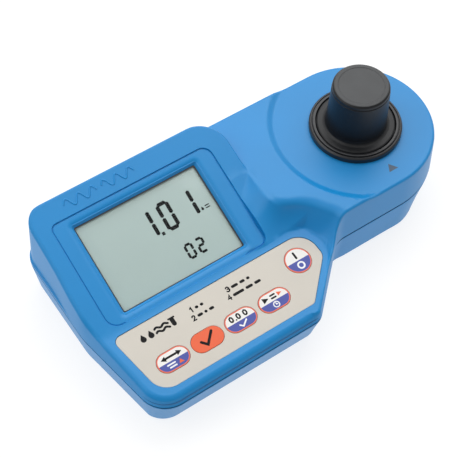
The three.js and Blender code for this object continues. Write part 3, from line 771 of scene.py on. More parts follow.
def upper_wall(build):
    """Rim under the seam edge, the wall and its rounded top edge, as rings from the bottom up."""
    rim = [(2.0, SEAM_Z + SEAM_GAP), (0.42, SEAM_Z + SEAM_GAP), (0.12, SEAM_Z + SEAM_GAP + 0.12)]
    rows = [build.add(at_z(outline_inset(inset), z)) for inset, z in rim]
    inner = outline_inset(REACH)
    top = surface_height(inner)
    # The rays start at each level of the wall, then fan out upwards from a core under the top.
    core_z = top - 1.8 - 1.2 * smoothstep(24.5, 28, top)
    levels = [20.75, 21.4, 21.95, 22.1, 22.25, 22.4, 22.55]
    levels += [mix(levels[-1], core_z, share) for share in (0.25, 0.5, 0.75, 1.0)]
    outwards = np.column_stack([OUT, np.zeros(COLUMNS)])
    for z in levels:
        rows.append(skin(build, cast(at_z(inner, z), outwards)))
    for angle in (10, 18, 25, 31, 36, 41, 46, 51, 56, 61, 67, 74, 82):
        a = math.radians(angle)
        direction = outwards * math.cos(a) + np.array([0, 0, math.sin(a)])
        rows.append(skin(build, cast(at_z(inner, core_z), direction)))
    rows.append(skin(build, at_z(inner, top)))
    # The rim faces in the seam gap take the dark blue: painted shade between the case halves.
    build.rings(rows[:3], 1)
    build.rings(rows[2:])
    return rows


def guide_lines():
    """Plan lines along the shape's edges, so that triangles never cut across them."""
    lines = []
    for dy in (-0.7, -0.4, -0.2, 0, 0.2, 0.4, 0.7):
        lines.append([(x, CREASE_Y + dy) for x in np.arange(-92, 5.1, 3)])
    corner = (BLOCK_X - BLOCK_CORNER_R, FAR - 3.2 - BLOCK_CORNER_R)
    for off in (-1.9, -1.4, -1.0, -0.7, -0.5, -0.35, -0.2, -0.1, 0, 0.06, 0.12, 0.18, 0.24, 0.3,
                0.36, 0.42, 0.5, 0.65, 0.85, 1.2, 1.8):
        path = [(block_edge(y) + off, y) for y in np.arange(-1.2, corner[1], 1.0)]
        lines.append(path + arc_points(*corner, BLOCK_CORNER_R + off, 0, 100, 36))
    for r in (38.4, 39.0, 39.4, 39.7, 40.1, 40.6, 41.3, 42.0, 42.6, 43.0, 43.3, 43.7, 44.3):
        lines.append(arc_points(HEAD_STEP[0], HEAD_STEP[1], r, 100, 260, 90))
    return lines


def guide_spots():
    """Plan points on the scoop's height lines, on a coarse grid and on a fine one by the ramp."""
    spots = []
    for theta in np.concatenate([np.arange(-16, 60, 2.6), np.arange(60, 97, 1.8)]):
        a = math.radians(theta)
        radii = [scoop_radius(z, theta) for z in np.linspace(27.6, NECK_Z, 18)]
        radii += [radii[-1] + k for k in (0.25, 0.5, 0.8, 1.2, 1.7, 2.3, 3.1, 4.2)]
        radii += list(np.arange(9.0, min(radii) - 0.25, 0.9))
        spots += [(SCOOP[0] + r * math.cos(a), SCOOP[1] + r * math.sin(a)) for r in radii]
    spots += [(x, y) for x in np.arange(-92, 94, 4.7) for y in np.arange(-50, 50, 4.7)]
    spots += [(x, y) for x in np.arange(-5.9, 2.2, 0.75) for y in np.arange(-9.5, LEVEL_Y, 1.1)]
    return spots


def upper_top(build, rim):
    """Top skin inside the wall's last ring. Returns the rings of its three openings."""
    frame_hole = np.array([panel.put(x, v)[:2] for x, v in frame_rect(0)])
    film_hole = np.array([keypad.put(x, v)[:2] for x, v in offset_loop(FILM_OUTLINE, POCKET_GAP)])
    holes = [frame_hole, film_hole, circle(*HEAD, SOCKET_R, SOCKET_COLUMNS)]
    guards = [offset_loop(frame_hole, 0.12), offset_loop(film_hole, 0.15),
              circle(*HEAD, SOCKET_R + 0.3, SOCKET_COLUMNS)]

    def allowed(path):
        """Which points keep clear of the rim and of the openings."""
        path = np.asarray(path, float)
        depth, values = nearest(path)
        good = depth > values[:, 3] + 0.12
        for guard in guards:
            good &= ~inside(guard, path)
        return good

    runs = []
    for path in guide_lines():
        run = []
        for point, ok in [*zip(path, allowed(path)), (None, False)]:
            if ok:
                run.append(point)
                continue
            if len(run) > 1:
                runs.append(run)
            run = []
    spots = guide_spots()
    kept = np.array(spots)[allowed(spots)]
    taken = np.array([point for run in runs for point in run])
    kept = [p for p in kept if ((taken - p) ** 2).sum(axis=1).min() > 0.02]

    def on_skin(xy):
        return skin(build, at_z(xy, surface_height(xy)))

    return build.sheet(outline_inset(REACH), holes, on_skin, rim, runs, kept)[1:]


def display_recess(build, ring):
    """Groove, sunk frame and chamfered display opening. Returns the opening's last ring."""
    step = FRAME_STEP
    groove = [(0.06, 0.03), (0.12, 0.12), (0.2, step + 0.28), (0.26, step + 0.33), (0.5, step + 0.33),
              (0.56, step + 0.28), (0.7, step + 0.04), (0.8, step), (1.0, step), (1.3, step)]
    bevel = [(3.5, 3.0, 0), (3.1, 2.9, 0.01), (2.75, 2.7, 0.04), (2.4, 2.5, 0.10), (2.05, 2.3, 0.19),
             (1.7, 2.1, 0.32), (1.35, 1.9, 0.50), (1.0, 1.6, 0.73), (0.7, 1.4, 0.99),
             (0.45, 1.2, 1.26), (0.22, 1.0, 1.55), (0.06, 0.85, 1.80), (0.0, 0.8, 1.95),
             (0.0, 0.8, WINDOW_STEP), (0.9, 0.8, WINDOW_STEP), (2.0, 0.8, WINDOW_STEP)]
    rings = [ring]
    rings += [build.ring(panel, frame_rect(-inset), -depth) for inset, depth in groove]
    rings += [build.ring(panel, window_rect(grow, r), -step - depth) for grow, r, depth in bevel]
    build.rings(rings)
    return rings[-1]


def film_pocket(build, ring):
    """Pocket under the film, with openings for the key stems. Returns their rings."""
    loop = offset_loop(FILM_OUTLINE, POCKET_GAP)
    rings = [ring]
    for inset, n in [(0.04, -0.06), (0.08, -0.2), (0.08, -1.1), (0.14, -1.2), (0.25, -POCKET_DEPTH)]:
        rings.append(build.ring(keypad, offset_loop(loop, -inset), n))
    build.rings(rings)
    stems = [circle(x, v, STEM_R + 0.4, 20) for x, v in KEY_PLACES.values()]
    return build.sheet(offset_loop(loop, -0.25), stems,
                       lambda xy: build.ring(keypad, xy, -POCKET_DEPTH), rings[-1])[1:]


def upper_case():
    build = Build()
    rows = upper_wall(build)
    frame_ring, film_ring, collar_ring = upper_top(build, rows[-1])
    window_edge = display_recess(build, frame_ring)
    stem_rings = film_pocket(build, film_ring)
    collar_rows = [collar_ring]
    for drop in (0.15, 2.2):
        socket = circle(*HEAD, SOCKET_R - 0.05, SOCKET_COLUMNS)
        collar_rows.append(build.add(at_z(socket, HEAD_Z - drop)))
    build.rings(collar_rows)
    close_shell(build, [rows[0][::-1], window_edge, collar_rows[-1], *stem_rings])
    build.make("upper_case_skin", "case", [BLUE, BLUE_SEAM_SHADE_AND_INSIDE], "case_blue", ["upper_case"], angle=28)


def close_shell(build, edges, thickness=1.5):
    """Adds an inner skin and joins it to the outer one along the open edges."""
    points, faces, slots = np.array(build.points), list(build.faces), list(build.slots)
    weighted = face_normals(points, faces)
    unit = weighted / np.maximum(np.linalg.norm(weighted, axis=1), 1e-12)[:, None]
    total = np.zeros_like(points)
    for face, normal in zip(faces, unit):
        for corner in face:
            total[corner] += normal
    total /= np.maximum(np.linalg.norm(total, axis=1), 1e-9)[:, None]
    offset = build.add(points - total * thickness)[0]
    for face, slot in zip(faces, slots):
        build.face([c + offset for c in reversed(face)], slot)
    for edge in edges:
        build.bridge(edge, [c + offset for c in edge])


# ---------------------------------------------------------------- lower case and underside
def bottom_inset():
    """How far the wall leans in from the seam to the underside, for each outline point."""
    x, y = SEAM_OUTLINE.T
    nx, ny = OUT.T
    end = 2 + 2.4 * np.clip(-ny, 0, 1)
    side = mix(end, 0.8, np.where(y < 0, smoothstep(8, 30, x), smoothstep(0, 30, x)))
    head = 0.6 + 13.4 * np.clip(nx, 0, 1) ** 2
    return mix(side, head, smoothstep(HEAD[0] - 6, HEAD[0] + 6, x))


SCREWS = [centre_mm(f"case_screw_{k}")[:2] for k in range(1, 7)]
hatch_low, hatch_high = box_mm("battery_cover")
HATCH = (hatch_low[:2] + hatch_high[:2]) / 2
HATCH_R = (hatch_high[0] - hatch_low[0]) / 2
HATCH_COLUMNS, BORE_COLUMNS = 96, 28
HATCH_GAP = 0.3
BORE_R, BORE_DEPTH = 3.45, 3.5
SCREW_SHANK_R = 1.75
FOOT_EDGE_R = 1.7  # the rounded edge between the wall and the underside


def lower_wall(build):
    """Rim under the seam, the leaning wall and its rounded foot, as rings from the top down."""
    lean = bottom_inset()

    def ring(share, extra, z):
        return build.add(at_z(outline_inset(0.15 + lean * share + extra), z))

    top, wall_z, low = SEAM_Z - SEAM_GAP, SEAM_Z - 2.2, UNDERSIDE_Z + FOOT_EDGE_R
    rows = [ring(0, 2.0, top), ring(0, 0.34, top), ring(0, 0.1, top - 0.1), ring(0, 0, top - 0.4),
            ring(0.02, 0, top - 1.0), ring(0.07, 0, wall_z)]
    for share in (0.2, 0.4, 0.6, 0.8, 1.0):
        rows.append(ring(mix(0.07, 0.93, share), 0, mix(wall_z, low, share)))
    for angle in (15, 30, 45, 60, 75, 90):
        a = math.radians(angle)
        rows.append(ring(0.93 + 0.07 * math.sin(a), FOOT_EDGE_R * (1 - math.cos(a)),
                         low - FOOT_EDGE_R * math.sin(a)))
    flipped = [row[::-1] for row in rows]
    # The rim faces in the seam gap take the dark blue: painted shade between the case halves.
    build.rings(flipped[:3], 1)
    build.rings(flipped[2:])
    return rows


def lower_case():
    build = Build()
    rows = lower_wall(build)
    r = HATCH_R + HATCH_GAP
    seat = [(r - 0.15, 0.18), (r - 0.15, 1.8), (r - 2.2, 1.8), (r - 2.2, 2.4)]
    bore = [(BORE_R - 0.15, 0.1), (BORE_R - 0.25, 0.3), (BORE_R - 0.25, BORE_DEPTH),
            (SCREW_SHANK_R, BORE_DEPTH), (SCREW_SHANK_R, BORE_DEPTH + 1.0)]
    openings = [(HATCH, r, HATCH_COLUMNS, seat)]
    openings += [(screw, BORE_R, BORE_COLUMNS, bore) for screw in SCREWS]
    base = outline_inset(0.15 + bottom_inset() + FOOT_EDGE_R)
    holes = [circle(*centre, hole_r, columns) for centre, hole_r, columns, _ in openings]
    loops = build.sheet(base, holes, lambda xy: build.add(at_z(xy, UNDERSIDE_Z)), rows[-1], flip=True)
    edges = []
    for loop, (centre, _, columns, profile) in zip(loops[1:], openings):
        walls = [loop]
        for wall_r, up in profile:
            walls.append(build.add(at_z(circle(*centre, wall_r, columns), UNDERSIDE_Z + up)))
        build.rings([wall[::-1] for wall in walls])
        edges.append(walls[-1][::-1])
    close_shell(build, [rows[0], *edges])
    build.make("lower_case_skin", "case", [BLUE, BLUE_SEAM_SHADE_AND_INSIDE], "case_blue", ["lower_case"], angle=28)


# ---------------------------------------------------------------- turned pieces
def soften(profile, steps=5):
    """Profile of (r, z, corner radius) with its corners rounded."""
    out = []
    for i, (r, z, radius) in enumerate(profile):
        here = np.array([r, z])
        if radius <= 0 or i in (0, len(profile) - 1):
            out.append((r, z))
            continue
        a = np.array(profile[i - 1][:2]) - here
        b = np.array(profile[i + 1][:2]) - here
        la, lb = np.linalg.norm(a), np.linalg.norm(b)
        a, b = a / la, b / lb
        half = math.acos(np.clip(a @ b, -1, 1)) / 2
        reach = min(radius / math.tan(half), la * 0.48, lb * 0.48)
        p0, p1 = here + a * reach, here + b * reach
        for k in range(steps + 1):
            t = k / steps
            out.append(tuple((1 - t) ** 2 * p0 + 2 * t * (1 - t) * here + t * t * p1))
    return out


def lathe(build, place, profile, segments, loop=False):
    """Turns a profile of (r, z) about a vertical axis; a point with r = 0 closes it."""
    rings = []
    for r, z in profile:
        if r <= 1e-6:
            rings.append(build.add([(*place, z)]) * segments)
        else:
            rings.append(build.add(at_z(circle(*place, r, segments), z)))
    build.rings(rings + ([rings[0]] if loop else []))
    return rings


def turned(name, body, place, profile, material, slot, node, segments, loop=False, angle=32):
    """A turned piece in place of one CAD node, from a profile of (r, z, corner radius)."""
    build = Build()
    lathe(build, place, soften(profile), segments, loop)
    build.make(name, body, [material], slot, [node], angle)


def collar():
    """Stepped ring round the cuvette socket."""
    top = box_mm("cuvette_collar")[1][2]
    foot = HEAD_Z - 0.02
    profile = [
        (13.6, 35.8, 0), (18.3, 35.8, 0.2), (18.3, foot, 0), (21.2, foot, 0.1),
        (21.2, top - 1.0, 0.5), (20.5, top - 0.45, 0.3), (20.15, top - 0.45, 0.12),
        (20.0, top - 0.95, 0.1), (19.75, top - 0.95, 0.1), (19.6, top - 0.12, 0.2),
        (19.2, top, 0.3), (18.35, top, 0.25), (18.2, top - 0.5, 0.1), (18.2, 39.2, 0.2),
        (13.6, 39.2, 0.2),
    ]
    turned("cuvette_collar_ring", "case", HEAD, profile, BLACK_FINE, "black_plastic",
           "cuvette_collar", 128, loop=True, angle=30)


def cap():
    """Cuvette cap: thin flange, tapered knob with a groove round its matt top, hollow below."""
    top = CAP_TOP
    outside = [
        (10.0, 39.5, 0), (17.3, 39.5, 0.1), (17.85, 39.9, 0.2), (17.9, 41.5, 0.35),
        (17.3, 41.95, 0.4), (15.2, 42.15, 1.0), (14.1, 42.6, 0.9), (13.75, 44.2, 0.8),
        (12.95, top - 2.6, 0.2), (12.6, top - 2.45, 0.06), (12.6, top - 2.2, 0.06),
        (12.85, top - 2.05, 0.12), (12.75, top - 0.85, 0.5), (11.9, top - 0.1, 0.7),
        (10.4, top, 0.3), (10.1, top - 0.16, 0.12), (9.7, top - 0.2, 0.1), (0, top - 0.2, 0),
    ]
    hollow = [(0, 58), (9.9, 58), (10, 57.8)]
    build = Build()
    lathe(build, HEAD, soften(outside) + hollow, 128, loop=True)
    for i, face in enumerate(build.faces):
        if min(build.points[k][2] for k in face) > top - 0.4:
            build.slots[i] = 1
    build.make("cuvette_cap_knob", "cap", [BLACK, BLACK_TOP], "black_plastic", ["cuvette_cap"],
               angle=26)


# ---------------------------------------------------------------- film, keys and their print
def plate(build, place, loop, top, bottom, edge, holes=()):
    """Adds a flat plate in a tilted plane, its top edges softened."""
    soft_holes = [offset_loop(hole, edge) for hole in holes]
    up, down = (build.sheet(offset_loop(loop, -edge), soft_holes,
                            lambda xy: build.ring(place, xy, level), flip=level == bottom)
                for level in (top, bottom))
    for k, outline in enumerate([loop, *holes]):
        inwards = -edge if k == 0 else edge
        order = [down[k], build.ring(place, outline, bottom), build.ring(place, outline, top - edge),
                 build.ring(place, offset_loop(outline, inwards * 0.3), top - edge * 0.3), up[k]]
        build.rings(order if k == 0 else [ring[::-1] for ring in order])


def film():
    build = Build()
    plate(build, keypad, FILM_OUTLINE, FILM_TOP, FILM_BOTTOM, 0.1,
          [key_loop(name, 0.15) for name in KEY_NAMES])
    build.make("keypad_film_sheet", "case", [FILM], "film_beige", ["keypad_film"], angle=25)


def stadium(x, v, half_w, r, steps=16):
    """Outline of a pill shape, its ends of radius r."""
    return np.array(arc_points(x + half_w - r, v, r, -90, 90, steps)
                    + arc_points(x - half_w + r, v, r, 90, 270, steps))


def key_loop(name, grow=0.0):
    x, v = KEY_PLACES[name]
    if name == "power":
        return circle(x, v, POWER_R + grow, 48)
    return stadium(x, v, KEY_STADIUM[0] + grow, KEY_STADIUM[1] + grow)


KEY_TOP, KEY_BOTTOM, STEM_END = -0.25, -0.8, -2.6
KEY_EDGE = 0.14
RING_W = 0.55  # width of a key's coloured rim


def key(name):
    """One key: plain orange, or a coloured rim, a white upper half and an indigo lower half."""
    x, v = KEY_PLACES[name]
    build = Build()
    solid = name == "check"
    loop, inner = key_loop(name), key_loop(name, -RING_W)
    soft_loop = offset_loop(loop, -KEY_EDGE)
    half = (POWER_R if name == "power" else KEY_STADIUM[0]) - 0.3
    split = v - (0.1 if name == "power" else 0.15)
    lines = [] if solid else [[*inner, inner[0]], [(x - half, split), (x + half, split)]]

    def colour_of(middle):
        halves = np.where(middle[:, 1] > split, 1, 2)
        return np.where(inside(inner, middle) & (not solid), halves, 0)

    up, = build.sheet(soft_loop, [], lambda xy: build.ring(keypad, xy, KEY_TOP), (), lines,
                      slot_of=colour_of)
    down, = build.sheet(soft_loop, [], lambda xy: build.ring(keypad, xy, KEY_BOTTOM), (), lines,
                        flip=True)
    build.rings([down, build.ring(keypad, loop, KEY_BOTTOM),
                 build.ring(keypad, loop, KEY_TOP - KEY_EDGE),
                 build.ring(keypad, offset_loop(loop, -KEY_EDGE * 0.3), KEY_TOP - KEY_EDGE * 0.3), up])
    stem = circle(x, v, STEM_R, 20)
    stem_top = build.ring(keypad, stem, KEY_BOTTOM + 0.05)
    stem_end = build.ring(keypad, stem, STEM_END)
    build.bridge(stem_end, stem_top)
    build.fill(stem_top)
    build.fill(stem_end, flip=True)
    materials = [KEY_ORANGE] if solid else [KEY_RING, KEY_WHITE, KEY_INDIGO]
    slot = "key_orange" if solid else "key_white"
    build.make(f"{name}_key_pad", f"{name}_key", materials, slot, [f"key_{name}"], angle=25)


INK_LIFT = 0.012
INK_SINK = 0.05


def inlay(name, body, place, level, shapes, material, slot):
    """Printed or moulded marks: thin closed slabs over a surface. Shapes are closed loops of
    (x, v), anticlockwise, or (outer, inner) pairs for rings."""
    build = Build()
    for shape in shapes:
        loops = shape if isinstance(shape, tuple) else (shape,)
        up, down = ([build.ring(place, loop, level + n) for loop in loops]
                    for n in (INK_LIFT, -INK_SINK))
        build.bridge(down[0], up[0])
        if len(loops) == 2:
            build.rings([up[0], up[1], down[1], down[0]])
        else:
            build.fill(up[0])
            build.fill(down[0], flip=True)
    build.make(name, body, [material], slot)


def stroke(path, width, cap_steps=5):
    """Outline of a round-ended stroke along an open path."""
    path = np.array(path, float)
    d = np.diff(path, axis=0)
    d /= np.linalg.norm(d, axis=1)[:, None]
    n = np.stack([-d[:, 1], d[:, 0]], axis=1)
    joint = np.vstack([n[:1], n[:-1] + n[1:], n[-1:]])
    joint /= np.linalg.norm(joint, axis=1)[:, None]
    stretch = np.concatenate([[1], 1 / np.maximum(0.5, (joint[1:-1] * n[1:]).sum(axis=1)), [1]])
    side = joint * (width / 2 * stretch)[:, None]

    def round_end(centre, direction):
        start = math.degrees(math.atan2(direction[1], direction[0]))
        return arc_points(*centre, width / 2, start, start + 180, cap_steps)[1:-1]

    return [*(path - side), *round_end(path[-1], -n[-1]),
            *(path + side)[::-1], *round_end(path[0], n[0])]


def bar(x0, x1, v, h):
    return stadium((x0 + x1) / 2, v, (x1 - x0) / 2, h / 2, 6)


def drop(x, v, size):
    """Water drop, point up."""
    return [(x, v + 1.25 * size)] + arc_points(x, v - 0.25 * size, 0.78 * size, 150, 390, 14)


def annulus(x, v, r, width, steps=32):
    return circle(x, v, r + width / 2, steps), circle(x, v, r - width / 2, steps)


# Each figure as one stroke, 1 wide and 1.6 high.
DIGIT_STROKES = {
    "0": [(0.5, 0.0), (0.12, 0.25), (0.0, 0.8), (0.12, 1.35), (0.5, 1.6), (0.88, 1.35), (1.0, 0.8),
          (0.88, 0.25), (0.52, 0.01)],
    "1": [(0.2, 1.25), (0.6, 1.6), (0.6, 0.0)],
    "2": [(0.05, 1.25), (0.25, 1.55), (0.65, 1.6), (0.95, 1.3), (0.85, 0.9), (0.05, 0.0), (1.0, 0.0)],
    "3": [(0.05, 1.35), (0.3, 1.6), (0.75, 1.58), (0.95, 1.25), (0.8, 0.92), (0.4, 0.84), (0.8, 0.78),
          (1.0, 0.42), (0.78, 0.04), (0.3, 0.0), (0.0, 0.25)],
    "4": [(0.75, 0.0), (0.75, 1.6), (0.0, 0.5), (1.05, 0.5)],
}


def digit(figure, x, v, size, width):
    return stroke([(x + a * size, v + b * size) for a, b in DIGIT_STROKES[figure]], width)


def key_print():
    """Generic marks in place of words: arrows, figures, a tick, start, clock and power signs."""
    dark, light, accent = {}, {}, {}
    x, v = KEY_PLACES["range"]
    left = [(x - 5.0, v + 1.75), (x - 2.7, v + 0.5), (x - 2.7, v + 3.0)]
    right = [(x + 5.0, v + 1.75), (x + 2.7, v + 3.0), (x + 2.7, v + 0.5)]
    dark["range"] = [left, right, bar(x - 3.0, x + 3.0, v + 1.75, 0.95)]
    light["range"] = [bar(x - 3.8, x + 0.4, v - 1.35, 0.7), bar(x - 3.2, x + 0.4, v - 2.65, 0.7)]
    accent["range"] = [[(x + 1.4, v - 2.9), (x + 3.7, v - 2.9), (x + 2.5, v - 1.0)]]
    x, v = KEY_PLACES["check"]
    dark["check"] = [stroke([(x - 3.0, v + 0.2), (x - 1.0, v - 2.1), (x + 3.4, v + 2.5)], 1.2)]
    x, v = KEY_PLACES["zero"]
    dark["zero"] = [circle(x - 1.6, v + 0.85, 0.38, 10)]
    dark["zero"] += [digit("0", x + shift, v + 0.8, 1.45, 0.7) for shift in (-4.3, -0.8, 2.6)]
    light["zero"] = [stroke([(x - 1.7, v - 1.9), (x - 0.5, v - 3.0), (x + 2.1, v - 1.0)], 0.7)]
    x, v = KEY_PLACES["read"]
    dark["read"] = [[(x - 4.6, v + 0.5), (x - 1.8, v + 1.85), (x - 4.6, v + 3.2)],
                    bar(x - 0.9, x + 1.9, v + 2.5, 0.8), bar(x - 0.9, x + 1.9, v + 1.1, 0.8)]
    light["read"] = [annulus(x - 0.2, v - 2.1, 1.3, 0.5),
                     stroke([(x - 0.2, v - 1.35), (x - 0.2, v - 2.1), (x + 0.45, v - 2.1)], 0.42)]
    accent["read"] = [[(x + 2.7, v + 0.8), (x + 4.9, v + 1.85), (x + 2.7, v + 2.9)]]
    x, v = KEY_PLACES["power"]
    dark["power"] = [stroke([(x, v + 1.2), (x, v + 3.9)], 1.0)]
    light["power"] = [annulus(x, v - 2.6, 1.45, 0.8)]
    for tag, group, material in (("dark", dark, INK), ("light", light, INK_WHITE),
                                 ("accent", accent, KEY_ORANGE)):
        for name, shapes in group.items():
            inlay(f"{name}_key_{tag}_print", f"{name}_key", keypad, KEY_TOP, shapes, material,
                  "key_white")


def film_print():
    """Generic pictograms and a four-line list of figures on the film."""
    v = keypad.v_of(-20.2)
    shapes = [drop(-76.4, v - 0.2, 1.65), drop(-72.6, v - 0.2, 1.65)]
    for wave_v in (v + 0.95, v - 0.95):
        wave = [(-70.2 + 0.45 * i, wave_v + 0.42 * math.sin(i * 0.75)) for i in range(15)]
        shapes.append(stroke(wave, 1.0))
    x = -61.6
    shapes.append(stroke([(x - 1.3, v + 1.8), (x + 1.3, v + 1.8)], 0.8))
    shapes.append([(x - 1.0, v + 1.5), (x - 1.0, v - 1.1)]
                  + arc_points(x, v - 1.1, 1.0, 180, 360, 8) + [(x + 1.0, v + 1.5)])
    rows = [("1", -52.9, -20.9, [1.6, 1.6]), ("2", -54.0, -24.6, [2.6, 1.4, 2.4]),
            ("3", -34.6, -21.0, [3.4, 2.6, 1.6]), ("4", -36.0, -24.6, [5.6, 3.6, 3.2])]
    for figure, x, y, words in rows:
        v = keypad.v_of(y)
        shapes.append(digit(figure, x, v, 1.35, 0.62))
        at = x + 2.5
        for length in words:
            shapes.append(bar(at, at + length, v + 1.08, 1.3))
            at += length + 0.9
    inlay("keypad_film_print", "case", keypad, FILM_TOP, shapes, INK, "film_beige")


# ---------------------------------------------------------------- display
WINDOW_TOP, WINDOW_BOTTOM = -2.75, -3.3
LCD_TOP, LCD_BOTTOM = -3.6, -5.4


def display():
    """Gasket, clear window and display panel, one under the other."""
    bezel = Build()
    outer, inner = window_rect(2.5, 1.5), window_rect(-0.4, 0.8)
    corners = [(outer, WINDOW_BOTTOM), (outer, -2.5), (inner, -2.5), (inner, WINDOW_BOTTOM)]
    rings = [bezel.ring(panel, loop, n) for loop, n in corners]
    bezel.rings(rings + [rings[0]])
    bezel.make("display_gasket", "case", [BLACK_FINE], "black_plastic", ["display_bezel"])
    window, lcd = Build(), Build()
    plate(window, panel, window_rect(-0.75, 0.7), WINDOW_TOP, WINDOW_BOTTOM, 0.08)
    window.make("display_window_pane", "case", [WINDOW], "clear_plastic", ["display_window"],
                angle=25)
    plate(lcd, panel, window_rect(1.4, 0.7), LCD_TOP, LCD_BOTTOM, 0.08)
    lcd.make("display_lcd_panel", "case", [LCD_PAINTED_GLOW], "lcd_glass", ["lcd_glass"], angle=25)


SEVEN = {"0": "abcdef", "1": "bc", "2": "abged"}
SLANT = 0.02  # of the figures, for each mm up
BAR_GAP = 0.12


def seven_segment(figure, x, v, w, h, thick):
    """Bars of one seven-segment figure; x, v is the lower left of the stroke centres."""
    half = h / 2
    ends = {"a": ((0, h), (w, h)), "b": ((w, half), (w, h)), "c": ((w, 0), (w, half)),
            "d": ((0, 0), (w, 0)), "e": ((0, 0), (0, half)), "f": ((0, half), (0, h)),
            "g": ((0, half), (w, half))}
    bars = []
    for name in SEVEN[figure]:
        a, b = (np.array(p, float) for p in ends[name])
        along = (b - a) / np.linalg.norm(b - a)
        side = np.array([-along[1], along[0]]) * thick / 2
        point = along * thick * 0.3
        a, b = a + along * BAR_GAP, b - along * BAR_GAP
        loop = [a, a + point - side, b - point - side, b, b - point + side, a + point + side]
        bars.append([(x + p[0] + SLANT * p[1], v + p[1]) for p in loop])
    return bars


def display_figures():
    """A reading of 1.01 with a drop and an equals sign, and a smaller 02 below it."""
    shapes = []
    for figure, right in (("1", -45.6), ("0", -35.6), ("1", -24.9)):
        shapes += seven_segment(figure, right - 4.6, 14.9, 4.6, 12.0, 1.75)
    shapes.append([(-44.3, 14.0), (-42.9, 14.0), (-42.9, 15.5), (-44.3, 15.5)])
    for figure, right in (("0", -35.9), ("2", -30.4)):
        shapes += seven_segment(figure, right - 3.0, -0.6, 3.0, 6.2, 1.15)
    shapes += [drop(-22.6, 16.3, 0.8), bar(-21.2, -18.9, 16.9, 0.5), bar(-21.2, -18.9, 15.8, 0.5)]
    inlay("display_figures", "case", panel, LCD_TOP, shapes, SEGMENT, "lcd_glass")


# ---------------------------------------------------------------- moulded marks
def ridge(build, place, path, width, height, sink=0.25):
    """Low rounded ridge along an open path, its foot sunk into the tilted plane."""
    half = [(1.0, -sink), (1.0, 0.0), (0.78, 0.6 * height), (0.4, 0.95 * height), (0.0, height)]
    profile = half + [(-share, n) for share, n in half[-2::-1]]
    path = np.array(path, float)
    d = np.gradient(path, axis=0)
    d /= np.linalg.norm(d, axis=1)[:, None]
    side = np.stack([d[:, 1], -d[:, 0]], axis=1) * width / 2
    rows = [build.ring(place, path + side * share, n) for share, n in profile]
    build.rings(rows + [rows[0]], closed=False)
    build.fill([row[0] for row in rows])
    build.fill([row[-1] for row in rows], flip=True)


def panel_ornament():
    """Generic raised waves in the margin over the display."""
    build = Build()
    v = panel.v_of(42.9)
    for start in (-75.5, -57.0):
        path = [(start + 0.3 * i, v + 2.0 * math.sin(i * 0.3)) for i in range(54)]
        ridge(build, panel, path, 0.8, 0.3)
    build.make("panel_wave_ornament", "case", [BLUE], "case_blue", angle=40)


def head_mark():
    """Printed alignment triangle on the head."""
    loop = [(55.9, -15.0), (60.8, -15.0), (58.2, -11.0)]
    inlay("head_index_mark", "case", Plane(HEAD_Z, 0), 0.0, [loop], MARK_GREY, "case_blue")


# ---------------------------------------------------------------- underside pieces
def feet():
    for k in range(1, 5):
        low, high = box_mm(f"foot_{k}")
        r = (high[0] - low[0]) / 2
        profile = [(0, 0.3, 0), (r - 2.0, 0.25, 0.2), (r - 1.6, 0.0, 0.2), (r - 0.5, 0.05, 0.35),
                   (r, 0.5, 0.1), (r, high[2], 0.05), (0, high[2], 0)]
        turned(f"rubber_foot_{k}", "case", centre_mm(f"foot_{k}")[:2], profile, RUBBER,
               "seal_rubber", f"foot_{k}", 48)


def cross_loop(x, y, reach, half_width):
    """Outline of a cross recess."""
    points = []
    for turn in range(4):
        a = math.radians(90 * turn)
        for dx, dy in ((reach, -half_width), (reach, half_width), (half_width, half_width)):
            points.append((x + dx * math.cos(a) - dy * math.sin(a),
                           y + dx * math.sin(a) + dy * math.cos(a)))
    return np.array(points)


def screws(columns=40):
    for k in range(1, 7):
        low, high = box_mm(f"case_screw_{k}")
        place, head = SCREWS[k - 1], low[2]
        build = Build()
        cross = cross_loop(*place, 1.5, 0.28)
        rim, mouth = build.sheet(circle(*place, 2.45, columns), [cross],
                                 lambda xy: build.add(at_z(xy, head)), flip=True)
        deep = build.add(at_z(place + (cross - place) * 0.8, head + 1.2))
        build.bridge(deep, mouth)
        build.fill(deep, flip=True)
        profile = [(2.75, head + 0.12), (2.9, head + 0.4), (2.9, head + 1.9), (1.3, head + 1.9),
                   (1.3, high[2] - 0.4), (0, high[2])]
        build.bridge(rim, lathe(build, place, profile, columns)[0])
        build.make(f"case_screw_head_{k}", "case", [STEEL], "screw_steel", [f"case_screw_{k}"])


def battery_cover():
    """Round cover with a rounded rim and a coin slot."""
    z, r = hatch_low[2], HATCH_R
    build = Build()
    coin_slot = stadium(*HATCH, 11.0, 1.3, 10)
    rim, mouth = build.sheet(circle(*HATCH, r - 1.1, HATCH_COLUMNS), [coin_slot],
                             lambda xy: build.add(at_z(xy, z)),
                             lines=[circle(*HATCH, 14.0, 64)], flip=True)
    inner = offset_loop(coin_slot, -0.12)
    deep = build.add(at_z(inner, z + 1.1))
    build.rings([deep, build.add(at_z(inner, z + 0.15)), mouth])
    build.fill(deep, flip=True)
    profile = [(r - 0.55, z + 0.03), (r - 0.2, z + 0.15), (r - 0.03, z + 0.4), (r, z + 0.7),
               (r, z + 1.4), (r - 2.4, z + 1.4), (r - 2.4, z + 1.9), (0, z + 1.9)]
    build.bridge(rim, lathe(build, HATCH, profile, HATCH_COLUMNS)[0])
    build.make("battery_cover_disc", "cover", [BLUE], "case_blue", ["battery_cover"], angle=28)


